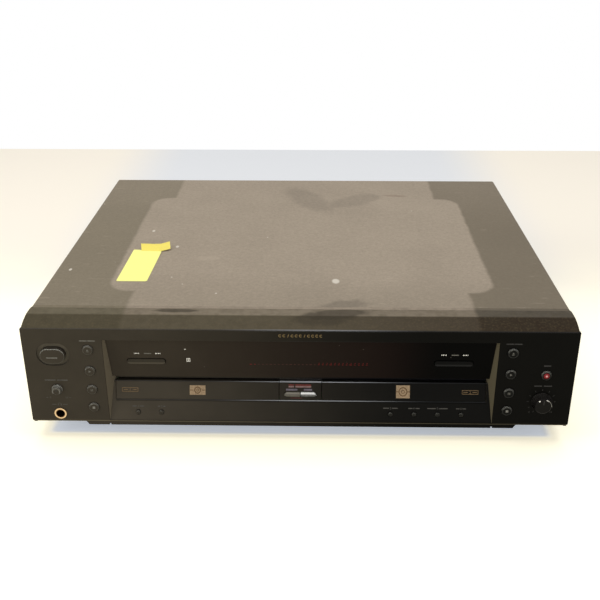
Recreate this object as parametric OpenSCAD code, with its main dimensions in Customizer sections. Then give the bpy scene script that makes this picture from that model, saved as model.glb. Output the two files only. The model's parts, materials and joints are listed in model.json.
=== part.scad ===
// Twin-tray disc player and recorder for a hi-fi rack, as an assembly of separate pieces.
// Millimetres, Z up. The origin is on the floor under the middle of the box round the player,
// and the front faces -Y. Inside place() depth is measured from the face of the front plate.

/* [Cabinet] */
// Width of the front plate
panel_w = 430; // [420:1:450]
// Height of the front plate
panel_h = 84; // [82:1:90]
// Depth from the face of the front plate to the back of the rear panel
cabinet_d = 366; // [358:1:400]
// Height of the feet
foot_h = 16.5; // [12:0.5:20]
// Radius of a foot at its top
foot_r = 22; // [16:0.5:26]
// Distance of a foot from the middle of the cabinet
foot_x = 172; // [140:1:182]
// Thickness of the sheet steel of cover, chassis and rear panel
sheet_t = 1; // [0.8:0.1:1.2]
// Depth of the dimples that take the cover screws
dimple_d = 2; // [1.5:0.1:2.5]
// Radius of the cover screws
screw_r = 1.8; // [1.5:0.1:2]

/* [Front panel] */
// Thickness of the front plate
plate_t = 3; // [2.6:0.1:3.4]
// Thickness of the other walls of the moulding
wall_t = 2.5; // [2:0.1:2.8]
// How far the plate stands past the cover on each side
side_lip = 0.8; // [0.4:0.1:1.2]
// Thickness of the flange that passes under the chassis
panel_drop = 1.5; // [1.2:0.1:2]
// How far the chin in the middle hangs below the plate
chin_h = 2.4; // [1:0.1:3]
// Height of the brow above the plate
brow_rise = 5; // [4:0.5:6]
// Depth of the moulding from the plate's face to the cover
brow_d = 32; // [29:1:36]
// Depth of the flat land behind the brow's curve
brow_land = 14; // [10:1:16]
// Radius of the brow's curve
brow_r = 48; // [40:1:60]
// Height of the plate above the display window
head_h = 9.2; // [8:0.2:10]
// Depth of the display window's face behind the plate at its top edge
display_in = 4.5; // [3.5:0.5:5.5]
// How much further back the window's bottom edge lies
display_lean = 5.5; // [4:0.5:6.5]
// Thickness of the display window
window_t = 2.5; // [2:0.1:3]
// Depth of the tray doors' top edge behind the plate
fascia_in = 12; // [10:0.5:13]
// Depth of the fascia behind the plate at its foot
lip_in = 0.8; // [0.6:0.1:1.2]
// Depth of the groove between the doors and the window
groove_d = 16; // [15.5:0.1:16.5]
// Height of the groove between the doors and the window
groove_h = 5.2; // [4:0.2:6]
// Inward lean of the recess's side walls for each millimetre of depth
wall_draft = 0.3; // [0.2:0.05:0.35]
// Height of the strip under the trays
strip_h = 17.8; // [17.4:0.1:19]
// Width of the block between the trays
pillar_w = 31.6; // [28:0.2:36]
// How much further from the middle the right half of the recess lies
right_shift = 2; // [0:0.1:3]

/* [Trays] */
// Radius of the disc
disc_r = 60; // [59:0.5:61]
// Radial room round the disc in its dish
disc_gap = 0.8; // [0.5:0.1:1.2]
// Width of the tray's rim beside the dish
tray_rim = 3.2; // [3:0.1:4]
// Thickness of the tray at its rim
tray_t = 8; // [7.4:0.2:8.6]
// Depth of the disc dish below the rim
dish_d = 3.5; // [3:0.1:3.8]
// How far a tray slides out
tray_travel = 140; // [130:1:140]
// Length of tray that stays behind the loading gear when the tray is out
tray_tail = 16.4; // [14:0.2:20]
// Height of a tray door
door_h = 14; // [13.6:0.1:15]
// Thickness of a tray door at its top edge
door_t = 3; // [2.6:0.1:3.4]
// How far a door reaches past the tray on each side
door_lap = 1.45; // [1:0.05:2]
// Gap round a door
door_gap = 0.5; // [0.3:0.05:0.7]
// Half the width of the slot that the pickup looks through
slot_half = 19; // [18.4:0.2:20]
// Play between a tray and the rails that carry it
rail_gap = 0.25; // [0.15:0.05:0.35]

/* [Loading drive] */
// Module of the loading gear's teeth
gear_m = 1; // [0.9:0.05:1.1]
// Number of teeth on the loading gear
gear_teeth = 24; // [22:1:26]
// Play between the teeth of gear and rack
backlash = 0.24; // [0.2:0.02:0.3]
// Height of the rack under the tray
rack_h = 4; // [3.6:0.1:4]
// Radius of the groove of the gear's pulley
pulley_r = 9; // [8:0.5:10]
// Radius of the groove of the motor's pulley
motor_pulley_r = 3; // [2.5:0.1:3.5]
// Distance between gear and motor shafts
belt_span = 28; // [26:0.5:29]
// Thickness of the belt
belt_t = 1.2; // [1:0.1:1.4]
// Radius of the loading motor
motor_r = 10; // [9:0.5:10.5]

/* [Traverse] */
// Radius of the turntable
turntable_r = 13.5; // [12:0.5:14]
// Height of the turntable's hub above the disc
hub_h = 2.2; // [1.8:0.1:2.4]
// Radius of the spindle shaft
spindle_r = 1.2; // [1:0.1:1.5]
// Radius of the spindle motor
spindle_motor_r = 12; // [10:0.5:12]
// Radius of the pickup's guide rods
rod_r = 1.5; // [1.2:0.1:1.8]
// Distance of a guide rod from the middle of the deck
rod_x = 12.5; // [12:0.1:13]
// Distance of the lens from the spindle at the inner end of its travel
lens_y = 25; // [25:0.5:27]
// Radius of the pivot pins
pivot_r = 1.8; // [1.5:0.1:2]
// How far the disc is lifted off the tray's dish
disc_lift = 2.7; // [2.4:0.1:3]
// Running clearance of shafts, pins and rods
run_gap = 0.05; // [0.03:0.01:0.08]
// Thickness of the loader frame's walls
frame_t = 3; // [2.5:0.1:3.5]
// Radius of the puck's neck in the clamp bridge
neck_r = 10.6; // [9:0.1:11]

/* [Controls] */
// Radius of the round transport keys
key_r = 4.1; // [3.6:0.1:4.5]
// How far the transport keys stand out
key_out = 1.4; // [1:0.1:2]
// Gap round every key in its hole
key_gap = 0.25; // [0.2:0.05:0.35]
// Radius of the small keys under the trays
small_key_r = 1.75; // [1.5:0.05:2]
// Distance between two small keys
small_pitch = 18.8; // [18:0.1:20]
// Length of a skip rocker
rocker_l = 30; // [26:0.5:32]
// Height of a skip rocker
rocker_h = 4.4; // [4:0.1:4.8]
// Distance of a skip rocker from the middle of the panel
rocker_x = 120.5; // [112:0.5:124]
// Length of the two silver keys on the centre block together
sync_l = 26; // [23:0.5:28]
// Height of the silver keys
sync_h = 3.2; // [2.8:0.1:3.8]
// Length of the oval power key
power_l = 19; // [17:0.5:20]
// Height of the oval power key
power_h = 12.5; // [11:0.5:13]
// How far the power key stands out
power_out = 4; // [3:0.5:5]
// Radius of the record level knob
rec_knob_r = 8.4; // [7.5:0.1:9]
// Radius of a knob's face as a share of the radius at its foot
knob_taper = 0.78; // [0.7:0.02:0.9]
// How far the record level knob stands out
knob_reach = 8; // [7:0.5:12]
// Radius of the phones level knob
phone_knob_r = 4.3; // [4:0.1:5]
// How far the phones level knob stands out
phone_reach = 4.6; // [4:0.2:6]
// Radius of the phones socket's bore
jack_bore_r = 3.2; // [3.15:0.05:3.25]
// Radius of the ring round the phones socket
jack_ring_r = 4.85; // [4.6:0.05:5.2]

/* [Rear] */
// Radius of a line jack's sleeve
sleeve_r = 4.15; // [4.1:0.05:4.2]
// How far the line jacks stand out behind the rear panel
jack_reach = 9; // [8:0.5:10]
// Distance between two line jacks
jack_pitch = 20; // [18:0.5:22]
// Radius of the bore of the mains cord gland
gland_bore_r = 3.6; // [3.2:0.1:4]
// Side of an optical socket's opening
optical_s = 7.6; // [7:0.1:8.2]

/* [Hidden] */
$fn = 64;

// Cabinet levels
eps = 0.01;
total_d = knob_reach + cabinet_d + jack_reach;
front_y = knob_reach - total_d / 2;
panel_z0 = foot_h - panel_drop;
panel_z1 = panel_z0 + panel_h;
cover_top = panel_z1 + brow_rise;
cover_w = panel_w - 2 * side_lip;
cover_bend = 2.5;
seam_gap = 0.3;
fit_gap = 0.1;
cover_y0 = brow_d + seam_gap;
chassis_top = foot_h + sheet_t;
flange_x = cover_w / 2 - dimple_d - sheet_t;
flange_h = 26;
dimple_r = 5.5;
cover_screw_z = foot_h + 15;
cover_screw_ys = [cover_y0 + 30, cabinet_d - 30];
head_t = 2;
foot_margin = 4;
foot_back = 24;
foot_ys = [brow_d + foot_r + foot_margin, cabinet_d - foot_r - foot_back];
foot_screw_r = 2;
foot_hollow = 5;
rear_x = cover_w / 2 - sheet_t - seam_gap;
rear_top = cover_top - sheet_t - seam_gap;
rear_tab_x = flange_x - 25.2;
rear_tab_half = 10;
rear_tab_h = 22;
rear_fold = 12;
rear_screw_z = chassis_top + 12;

// Front panel levels
corner_r = 3;
lip_r = 2.4;
chin_in = 0.5;
chin_past = 21;
chin_taper = 4;
chin_notch = 0.7;
land_drop = 0.3;
land_z = cover_top - land_drop;
brow_lip = 1;
brow_a = [brow_lip, panel_z1];
brow_b = [brow_d - brow_land, land_z];
brow_chord = norm(brow_b - brow_a);
brow_rest = sqrt(brow_r * brow_r - brow_chord * brow_chord / 4);
brow_c = (brow_a + brow_b) / 2
    + brow_rest / brow_chord * [brow_b.y - brow_a.y, brow_a.x - brow_b.x];
strip_foot = panel_z0 + 2;
strip_top = panel_z0 + strip_h;
door_z0 = strip_top + door_gap;
door_z1 = door_z0 + door_h;
display_z0 = door_z1 + groove_h;
recess_top = panel_z1 - head_h;
window_gap = 0.2;
display_z1 = recess_top - window_gap;
groove_floor = 1.5;
edge_cut = 1.1;
seam_d = 0.8;
fascia_slope = (fascia_in - lip_in) / (door_z1 - strip_foot);
display_slope = display_lean / (display_z1 - display_z0);
function fascia_y(z) = lip_in + (z - strip_foot) * fascia_slope;
function display_y(z) = display_in + (display_z1 - z) * display_slope;
function seat_y(z) = display_y(z) + window_t;

// Tray and deck places
dish_r = disc_r + disc_gap;
tray_half = dish_r + tray_rim;
door_w = 2 * (tray_half + door_lap);
deck_x = pillar_w / 2 + door_gap + door_w / 2;
function deck_place(n) = n == 1 ? -deck_x : deck_x + right_shift;
recess_half = pillar_w / 2 + 2 * door_gap + door_w;
tray_y0 = fascia_in + door_t;
door_edge_r = 1.3;
front_rim = 4.2;
spindle_y = tray_y0 + front_rim + dish_r;
tray_z0 = door_z0 + rack_h + 0.2;
tray_z1 = tray_z0 + tray_t;
dish_z = tray_z1 - dish_d;
small_dish_r = 40.8;
small_dish_z = dish_z - 1.7;
rail_z0 = tray_z0 + 1.2;
rail_h = 2.2;
rail_grip = 2;

// Key board behind the front panel
board_y = groove_d + wall_t + 2.5;
board_t = 1.6;
board_half = cover_w / 2 - wall_t - 7.2;

// Loading drive places
pitch_r = gear_m * gear_teeth / 2;
tooth_pitch = PI * gear_m;
rack_x = 50;
gear_x = rack_x - pitch_r;
gear_y = board_y + board_t + 4 + pitch_r + gear_m;
gear_z0 = tray_z0 - rack_h;
gear_z1 = tray_z0 - 0.4;
pulley_h = 4.2;
pulley_z0 = gear_z0 - pulley_h;
shaft_bore = 6;
motor_x = gear_x - belt_span;
axle_r = 2;
belt_w = 2.4;
belt_z0 = pulley_z0 + (pulley_h - belt_w) / 2;
belt_gap = 0.15;
tray_y1 = gear_y + tray_travel + tray_tail;
rack_back = 5.5;
rack_first = ceil((tray_y0 + 2 - gear_y) / tooth_pitch - 0.5);
rack_last = floor((tray_y1 - 2 - gear_y) / tooth_pitch - 0.5);

// Loader frame places
chassis_lip_y = board_y + board_t;
chassis_lip_h = 11;
frame_y0 = chassis_lip_y + sheet_t + 1.4;
frame_y1 = tray_y1 + 20;
frame_in = tray_half + 5;
frame_out = frame_in + frame_t;
frame_z0 = chassis_top + 3;
floor_t = 2;
floor_top = frame_z0 + floor_t;
bridge_z0 = tray_z1 + 7;
bridge_t = 1.2;
bridge_half_y = 20;
bridge_rib = 5;

// Traverse places, with the disc lifted and level
disc_z = dish_z + disc_lift;
disc_t = 1.2;
platform_t = 3;
plate_z1 = tray_z0 - 3.5;
plate_z0 = plate_z1 - 2;
plate_half = 36;
plate_y0 = spindle_y - 19;
pivot_y = tray_y1 - 12;
pivot_z = (plate_z0 + plate_z1) / 2;
boss_r = 4;
boss_in = plate_half + 1;
boss_out = boss_in + 6;
rod_z = plate_z1 + 3.5;
rod_y0 = spindle_y + spindle_motor_r - 0.5;
rod_y1 = pivot_y - 12;
post_l = 3;
post_half = 3.5;
spindle_motor_z0 = chassis_top + 7.8;
spindle_motor_z1 = disc_z - platform_t - 1;
sled_half = rod_x + 4;
sled_half_y = 9.5;
sled_z0 = rod_z - 2.6;
sled_z1 = rod_z + 2.6;
lens_z = disc_z - 1.8;
puck_z0 = disc_z + disc_t + 0.2;
puck_r = 15;
puck_flange = 3.4;
puck_flange_t = 1.7;
puck_flange_z = bridge_z0 + bridge_t + seam_gap;
hub_r = 7.4;

// Control places
field_x = recess_half + wall_draft * groove_d;
field_w = panel_w / 2 - field_x;
side_x = field_x + 0.624 * field_w;
column_x = field_x + 0.1824 * field_w;
column_xs = [-column_x, column_x + 0.6 * right_shift];
rocker_xs = [-rocker_x, rocker_x + right_shift / 2];
record_x = side_x + 0.6 * right_shift;
sync_x = right_shift / 2;
key_zs = [panel_z0 + 66.3, panel_z0 + 47.7, panel_z0 + 30.8, panel_z0 + 14.6];
power_z = panel_z0 + 62;
power_dish = 3.5;
power_dish_d = 1.2;
phone_z = panel_z0 + 31;
jack_z = panel_z0 + 8.6;
record_z = panel_z0 + 47;
record_key_r = 4;
level_z = panel_z0 + 23;
rocker_z = panel_z0 + 52.6;
rocker_out = 1;
rocker_gap = 0.5;
rocker_pin_r = 1.2;
rocker_pin_y = seat_y(rocker_z) + wall_t + 3;
rocker_lug_z = rocker_h / 2 + 1;
rocker_lug_t = 2;
rocker_lug_half = 4;
rocker_web = 1.5;
small_z = panel_z0 + 8.2;
small_xs = concat([for (i = [0:1]) -129.5 + i * small_pitch], [for (i = [0:3]) 73.4 + i * small_pitch]);
sync_z = panel_z0 + 22.7;
sync_split = 0.8;
sync_lens_h = 3 * sync_h;
sync_arc = (sync_l * sync_l / 4 + sync_lens_h * sync_lens_h / 4) / sync_lens_h;
sync_ridge = 1.7;
sync_side = 0.5;
lip_w = 1.1;
lip_t = 1.2;
switch_l = 3.5;
switch_half = 3;
stem_r = 1.6;
stem_end = board_y - switch_l - 1.4;
knob_shaft_r = 3;
knob_gap = 0.4;
flute_r = 0.5;
flute_foot = 1;
rec_flutes = 36;
phone_flutes = 18;
phone_shaft_r = 1.5;
pot_l = 6.5;
tube_w = 148;
tube_h = 24;
tube_t = 5;
tube_glass = 0.6;
tube_end = 7;
tube_edge = 3.5;
tube_z = (display_z0 + display_z1) / 2 + 1;
bush_l = 14;
bush_r = 4.2;
jack_body = 7;
jack_end = chassis_lip_y - 2 * seam_gap;

// Rear places
line_x = 62;
line_z = chassis_top + 22;
coax_x = line_x + 2.2 * jack_pitch;
optical_x = coax_x + 22;
optical_z = line_z + 2;
optical_pitch = 22;
optical_body = 6.4;
optical_in = 9;
optical_rim = 1.3;
block_d = 12;
block_edge = 8;
gland_x = 62.9 - rear_x;
gland_z = chassis_top + 14;
gland_neck_r = 5.4;
gland_flange = 2;
collar_w = 0.35;
collar_out = 0.5;
standoff_h = 6.5;
deck_board_z = chassis_top + standoff_h;
board_room = 18;
main_x0 = -44;
main_x1 = flange_x - 15.2;
main_y0 = frame_y1 + board_room;
main_y1 = cabinet_d - sheet_t - block_d + 6;
supply_x0 = 7.2 - flange_x;
supply_x1 = supply_x0 + 56;
supply_y0 = main_y0;
supply_y1 = cabinet_d - sheet_t - 14;
mains_x = supply_x1 + 44;
mains_y = cabinet_d - 42;

// Sizes of components: length, width and height, or radius and height
processor = [24, 24, 2.4];
processor_at = [40, 40];
memory_at = [80, 40];
driver_at = [125, 36];
filter_at = [30, 70];
ribbon_at = [60, 8];
supply_at = [14, 24];
sink_at = [16, 36];
mains_filter_in = 20;
memory = [20, 20, 2.2];
driver = [10, 18, 2];
driver_pitch = 26;
ribbon_plug = [30, 5, 6];
ribbon_pitch = 100;
filter_cap = [4, 11];
filter_pitch = 14;
supply_cap = [8, 26];
supply_pitch = 20;
mains_filter = [9, 26, 12];
sink_wall = [4, 36, 26];
sink_fin = [18, 2, 26];
sink_pitch = 7;
bracket = [76, 32, 1.5];
core = [56, 24, 48];
coil_l = 40;
coil_h = 27.5;
bracket_hole_x = 33;
bracket_hole_r = 2.2;

// Depth from the face of the front plate
module place() translate([0, front_y, 0]) children();

// A profile in Y and Z, drawn from x0 to x1
module along_x(x0, x1) translate([x0, 0, 0]) rotate([90, 0, 90]) linear_extrude(x1 - x0) children();

// A profile in X and Z, drawn from y0 to y1
module along_y(y0, y1) translate([0, y1, 0]) rotate([90, 0, 0]) linear_extrude(y1 - y0) children();

// A profile in X and Y, drawn from z0 to z1
module along_z(z0, z1) translate([0, 0, z0]) linear_extrude(z1 - z0) children();

module box(x0, x1, y0, y1, z0, z1) translate([x0, y0, z0]) cube([x1 - x0, y1 - y0, z1 - z0]);

module rod_along_x(r, x0, x1) translate([x0, 0, 0]) rotate([0, 90, 0]) cylinder(r = r, h = x1 - x0);

module rod_along_y(r, y0, y1) translate([0, y0, 0]) rotate([-90, 0, 0]) cylinder(r = r, h = y1 - y0);

module rod_along_z(r, z0, z1) translate([0, 0, z0]) cylinder(r = r, h = z1 - z0);

// A profile of radius and depth, turned round an axis along Y
module turned_y() rotate([-90, 0, 0]) mirror([0, 1, 0]) rotate_extrude() children();

module both_sides() {
    children();
    mirror([1, 0, 0]) children();
}

// Both decks are the same mechanism, one on each side of the middle
module deck(n) place() translate([deck_place(n), 0, 0]) children();

module stadium(l, h) {
    square([l - h, h], center = true);
    for (s = [-1, 1]) translate([s * (l - h) / 2, 0]) circle(h / 2);
}

// An arch open at the bottom, with round upper corners
module tunnel(half, bottom, top, r) {
    translate([-half, bottom]) square([2 * half, top - r - bottom]);
    translate([r - half, bottom]) square([2 * (half - r), top - bottom]);
    for (s = [-1, 1]) translate([s * (half - r), top - r]) circle(r);
}

// Top cover: folded sheet with dimples for its side screws

module cover_screw_places() both_sides() for (y = cover_screw_ys)
    translate([0, y, cover_screw_z]) children();

module top_cover() color("#8a8070") place() difference() {
    union() {
        along_y(cover_y0, cabinet_d) difference() {
            tunnel(cover_w / 2, foot_h, cover_top, cover_bend);
            tunnel(cover_w / 2 - sheet_t, foot_h - 1, cover_top - sheet_t, cover_bend - sheet_t);
        }
        cover_screw_places() rod_along_x(dimple_r + sheet_t, flange_x, cover_w / 2 - sheet_t / 2);
    }
    cover_screw_places() rod_along_x(dimple_r, flange_x + sheet_t, cover_w / 2 + 1);
    cover_screw_places() rod_along_x(screw_r + fit_gap, flange_x - 1, cover_w / 2);
}

// Bottom chassis: folded tray with standoffs, vents and a front flange

module foot_places() both_sides() for (y = foot_ys) translate([foot_x, y, 0]) children();

module board_standoffs(x0, x1, y0, y1) {
    for (x = [x0 + 8, x1 - 8], y = [y0 + 8, y1 - 8]) translate([x, y, 0]) children();
}

module all_standoffs() {
    board_standoffs(main_x0, main_x1, main_y0, main_y1) children();
    board_standoffs(supply_x0, supply_x1, supply_y0, supply_y1) children();
}

module bottom_chassis() color("#9aa0a4") place() difference() {
    union() {
        box(-flange_x, flange_x, plate_t + 1, cabinet_d - sheet_t, foot_h, chassis_top);
        both_sides() box(flange_x - sheet_t, flange_x, cover_y0, cabinet_d - sheet_t,
            foot_h, foot_h + flange_h);
        box(-flange_x, flange_x, chassis_lip_y, chassis_lip_y + sheet_t, foot_h, foot_h + chassis_lip_h);
        both_sides() box(rear_tab_x - rear_tab_half, rear_tab_x + rear_tab_half,
            cabinet_d - 2 * sheet_t, cabinet_d - sheet_t, foot_h, foot_h + rear_tab_h);
        all_standoffs() rod_along_z(3.5, foot_h, deck_board_z);
    }
    foot_places() rod_along_z(foot_screw_r + fit_gap, foot_h - 1, chassis_top + 1);
    cover_screw_places() rod_along_x(screw_r + fit_gap / 2, flange_x - 2 * sheet_t, flange_x + 1);
    both_sides() translate([rear_tab_x, 0, rear_screw_z])
        rod_along_y(screw_r + fit_gap / 2, cabinet_d - 3 * sheet_t, cabinet_d);
    for (i = [0:5]) translate([mains_x - 30 + i * 12, mains_y, 0]) along_z(foot_h - 1, chassis_top + 1)
        rotate(90) stadium(44, 4);
}

// Rear panel: flat sheet with a folded top edge and the holes for its jacks

module line_jack_places() {
    for (i = [0:1], j = [0:1]) translate([line_x + i * jack_pitch, 0, line_z + j * jack_pitch]) children();
    translate([coax_x, 0, line_z]) children();
}

module optical_places() for (i = [0:1]) translate([optical_x + i * optical_pitch, 0, optical_z]) children();

module rear_panel() color("#6d6f70") place() difference() {
    union() {
        along_y(cabinet_d - sheet_t, cabinet_d) tunnel(rear_x, foot_h, rear_top, cover_bend);
        box(cover_bend - rear_x, rear_x - cover_bend, cabinet_d - rear_fold, cabinet_d - sheet_t / 2,
            rear_top - sheet_t, rear_top);
    }
    line_jack_places() rod_along_y(sleeve_r + collar_w + fit_gap, cabinet_d - 3, cabinet_d + 1);
    optical_places() along_y(cabinet_d - 3, cabinet_d + 1)
        square(2 * (optical_body - optical_rim + seam_gap), center = true);
    translate([gland_x, 0, gland_z]) rod_along_y(gland_neck_r + fit_gap, cabinet_d - 3, cabinet_d + 1);
    both_sides() translate([rear_tab_x, 0, rear_screw_z])
        rod_along_y(screw_r + fit_gap, cabinet_d - 3, cabinet_d + 1);
    for (i = [0:9], j = [0:2]) translate([mains_x - 45 + i * 10, 0, chassis_top + 40 + j * 14])
        along_y(cabinet_d - 3, cabinet_d + 1) rotate(90) stadium(10, 3);
}

// Front panel: plate, brow, side returns and the V-shaped recess

module plate_outline() {
    translate([-panel_w / 2, panel_z0 + corner_r]) square([panel_w, panel_h - corner_r]);
    translate([corner_r - panel_w / 2, panel_z0]) square([panel_w - 2 * corner_r, panel_h]);
    for (s = [-1, 1]) translate([s * (panel_w / 2 - corner_r), panel_z0 + corner_r]) circle(corner_r);
}

module plate_section() {
    translate([0, panel_z0 + lip_r]) square([plate_t, panel_h - lip_r]);
    translate([lip_r, panel_z0]) square([plate_t - lip_r + eps, lip_r + 1]);
    translate([lip_r, panel_z0 + lip_r]) circle(lip_r);
}

// Half width of the recess at the face of the plate
function mouth_half() = recess_half + wall_draft * groove_d;

// The chin under the strip, with a notch below each end of the recess
module chin() {
    end = mouth_half() + chin_past;
    low = panel_z0 - chin_h;
    high = panel_z0 + lip_r + 1;
    difference() {
        along_y(chin_in, plate_t) polygon([[-end, high], [chin_taper - end, low],
            [end + right_shift - chin_taper, low], [end + right_shift, high]]);
        for (x = [-mouth_half(), mouth_half() + right_shift])
            box(x - chin_notch, x + chin_notch, -1, plate_t + 1, low - 1, low + 2 * chin_notch);
    }
}

module brow_area(inset) intersection() {
    translate([brow_lip, panel_z1 - wall_t]) square([brow_d + 1, land_z - inset - panel_z1 + wall_t]);
    translate(brow_c) circle(brow_r - inset, $fn = 200);
}

module recess_plan(grow) {
    front = -2;
    back = groove_d + wall_t;
    front_half = recess_half + wall_draft * (groove_d - front) + grow;
    back_half = recess_half + wall_draft * (groove_d - back) + grow;
    polygon([[-front_half, front], [front_half + right_shift, front],
        [back_half + right_shift, back], [-back_half, back]]);
}

// The open space of the recess, down to the seat of the display window
module recess_space() intersection() {
    along_z(strip_foot, recess_top) recess_plan(0);
    along_x(-panel_w / 2, panel_w / 2) polygon([
        [-2, strip_foot], [lip_in, strip_foot], [fascia_y(door_z1 - edge_cut), door_z1 - edge_cut],
        [fascia_in + edge_cut, door_z1], [groove_d, door_z1],
        [groove_d, display_z0], [seat_y(display_z0), display_z0], [seat_y(recess_top), recess_top],
        [-2, recess_top]]);
}

module recess_shell() intersection() {
    along_z(panel_z0, panel_z1) recess_plan(wall_t);
    along_x(-panel_w / 2, panel_w / 2) polygon([
        [brow_lip, strip_foot - 1], [fascia_y(strip_foot - 1) + wall_t, strip_foot - 1],
        [fascia_y(door_z1 - groove_floor) + wall_t, door_z1 - groove_floor],
        [groove_d + wall_t, door_z1 - groove_floor], [groove_d + wall_t, display_z0 + wall_t],
        [seat_y(display_z0 + wall_t) + wall_t, display_z0 + wall_t],
        [seat_y(recess_top) + wall_t, recess_top + wall_t], [brow_lip, recess_top + wall_t]]);
}

// The seam between block and strip, and the broken upper edge of the strip
module recess_seams() {
    edge = fascia_y(strip_top);
    box(-pillar_w / 2 - 1, pillar_w / 2 + right_shift + 1, 0, edge + seam_d, strip_top, door_z0);
    along_x(-recess_half, recess_half + right_shift) polygon([
        [edge - 1, strip_top - edge_cut], [fascia_y(strip_top - edge_cut), strip_top - edge_cut],
        [edge + seam_d, strip_top], [edge - 1, strip_top]]);
}

module key_places() for (x = column_xs, z = key_zs) translate([x, 0, z]) children();

module board_post_places() {
    both_sides() for (z = [panel_z0 + 39, panel_z1 - 6])
        translate([(side_x + column_x) / 2, 0, z]) children();
    both_sides() translate([60, 0, panel_z1 - 4]) children();
}

module rocker_places() for (x = rocker_xs) translate([x, 0, rocker_z]) children();

module rocker_slot() stadium(rocker_l + 2 * rocker_gap, rocker_h + 2 * rocker_gap);

module rocker_lugs() rocker_places() for (s = [-1, 1]) difference() {
    box(-rocker_lug_half, rocker_lug_half, seat_y(rocker_z) + wall_t / 2, rocker_pin_y + 2 * rocker_pin_r,
        s * rocker_lug_z + min(s, 0) * rocker_lug_t, s * rocker_lug_z + max(s, 0) * rocker_lug_t);
    translate([0, rocker_pin_y, 0]) rod_along_z(rocker_pin_r + run_gap, -10, 10);
}

module front_panel() color("#1c1b19") place() difference() {
    union() {
        intersection() {
            along_y(0, plate_t) plate_outline();
            along_x(-panel_w, panel_w) plate_section();
        }
        along_x(-cover_w / 2, cover_w / 2) difference() {
            brow_area(0);
            translate([0, -wall_t]) brow_area(wall_t);
            translate([brow_d, 0]) square([100, 2 * cover_top]);
        }
        both_sides() along_x(cover_w / 2 - wall_t, cover_w / 2) difference() {
            union() {
                brow_area(0);
                translate([brow_lip, panel_z0]) square([brow_d - brow_lip, panel_h]);
            }
            translate([brow_d, 0]) square([100, 2 * cover_top]);
        }
        box(-cover_w / 2, cover_w / 2, plate_t - 0.5, brow_d, panel_z0, foot_h);
        recess_shell();
        chin();
        board_post_places() rod_along_y(2.5, plate_t - 0.5, board_y);
        rocker_lugs();
    }
    recess_space();
    for (n = [1, 2]) translate([deck_place(n), 0, 0]) box(-door_w / 2 - door_gap, door_w / 2 + door_gap,
        -1, groove_d + wall_t + 1, strip_top, door_z1 + door_gap);
    box(-tube_w / 2 - 1, tube_w / 2 + 1, display_in, board_y,
        tube_z - tube_h / 2 - 1, tube_z + tube_h / 2 + 1);
    rocker_places() along_y(display_in, rocker_pin_y - 1) rocker_slot();
    recess_seams();
    key_places() rod_along_y(key_r + key_gap, -1, plate_t + 1);
    translate([record_x, 0, record_z]) rod_along_y(record_key_r + key_gap, -1, plate_t + 1);
    translate([side_x, 0, level_z]) rod_along_y(knob_shaft_r + 0.5, -1, plate_t + 1);
    translate([-side_x, 0, phone_z]) rod_along_y(phone_shaft_r + 0.5, -1, plate_t + 1);
    translate([-side_x, 0, jack_z]) rod_along_y(bush_r + fit_gap, -1, plate_t + 1);
    translate([-side_x, 0, power_z]) {
        along_y(-1, power_dish_d) stadium(power_l + 2 * power_dish, power_h + 2 * power_dish);
        along_y(-1, plate_t + 1) stadium(power_l + 2 * key_gap, power_h + 2 * key_gap);
    }
    for (x = small_xs) translate([x, 0, small_z]) rod_along_y(small_key_r + key_gap, -1, board_y - 4);
    translate([sync_x, 0, sync_z]) along_y(-1, board_y) sync_outline(key_gap);
}

// Display window and the tube behind it

module display_window() color("#0b0b0d") place() difference() {
    intersection() {
        along_z(display_z0, display_z1) recess_plan(-window_gap);
        along_x(-panel_w / 2, panel_w / 2) polygon([
            [display_y(display_z0), display_z0], [seat_y(display_z0), display_z0],
            [seat_y(display_z1), display_z1], [display_y(display_z1), display_z1]]);
    }
    rocker_places() along_y(-1, board_y) rocker_slot();
}

module display_tube() color("#30363a") place() difference() {
    box(-tube_w / 2, tube_w / 2, board_y - tube_t, board_y, tube_z - tube_h / 2, tube_z + tube_h / 2);
    along_y(board_y - tube_t - 1, board_y - tube_t + tube_glass) translate([0, tube_z])
        square([tube_w - 2 * tube_end, tube_h - 2 * tube_edge], center = true);
}

// Boards

module switch_at(x, z) translate([x, 0, z]) {
    box(-switch_half, switch_half, board_y - switch_l, board_y + eps, -switch_half, switch_half);
    rod_along_y(1.2, board_y - switch_l - 0.4, board_y - switch_l + 0.1);
}

module pot_at(x, z, shaft_r) translate([x, 0, z]) difference() {
    union() {
        box(-5, 5, board_y - pot_l, board_y + eps, -5, 5);
        rod_along_y(shaft_r + 1.2, board_y - pot_l - 4, board_y - pot_l + 0.1);
    }
    rod_along_y(shaft_r + run_gap, board_y - pot_l - 5, board_y - 1);
}

module front_board() color("#2f6b3c") place() {
    difference() {
        box(-board_half, board_half, board_y, board_y + board_t, chassis_top + 1.5, panel_z1 - 2);
        for (n = [1, 2]) translate([deck_place(n), 0, 0]) box(-tray_half - 2, tray_half + 2,
            board_y - 1, board_y + board_t + 1, gear_z0 - 1.5, tray_z1 + 3.5);
        box(-side_x - 9, -side_x + 9, board_y - 1, board_y + board_t + 1, chassis_top, jack_z + 9);
    }
    for (x = column_xs, z = key_zs) switch_at(x, z);
    for (x = rocker_xs, s = [-1, 1]) switch_at(x + s * rocker_l / 3, rocker_z);
    for (x = small_xs) switch_at(x, small_z);
    for (s = [-1, 1]) switch_at(sync_x + s * sync_l / 4, sync_z);
    switch_at(record_x, record_z);
    switch_at(-side_x, power_z);
    pot_at(side_x, level_z, knob_shaft_r);
    pot_at(-side_x, phone_z, phone_shaft_r);
}

module board(x0, x1, y0, y1) difference() {
    box(x0, x1, y0, y1, deck_board_z, deck_board_z + board_t);
    board_standoffs(x0, x1, y0, y1) rod_along_z(1.2, deck_board_z - 1, deck_board_z + board_t + 1);
}

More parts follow.
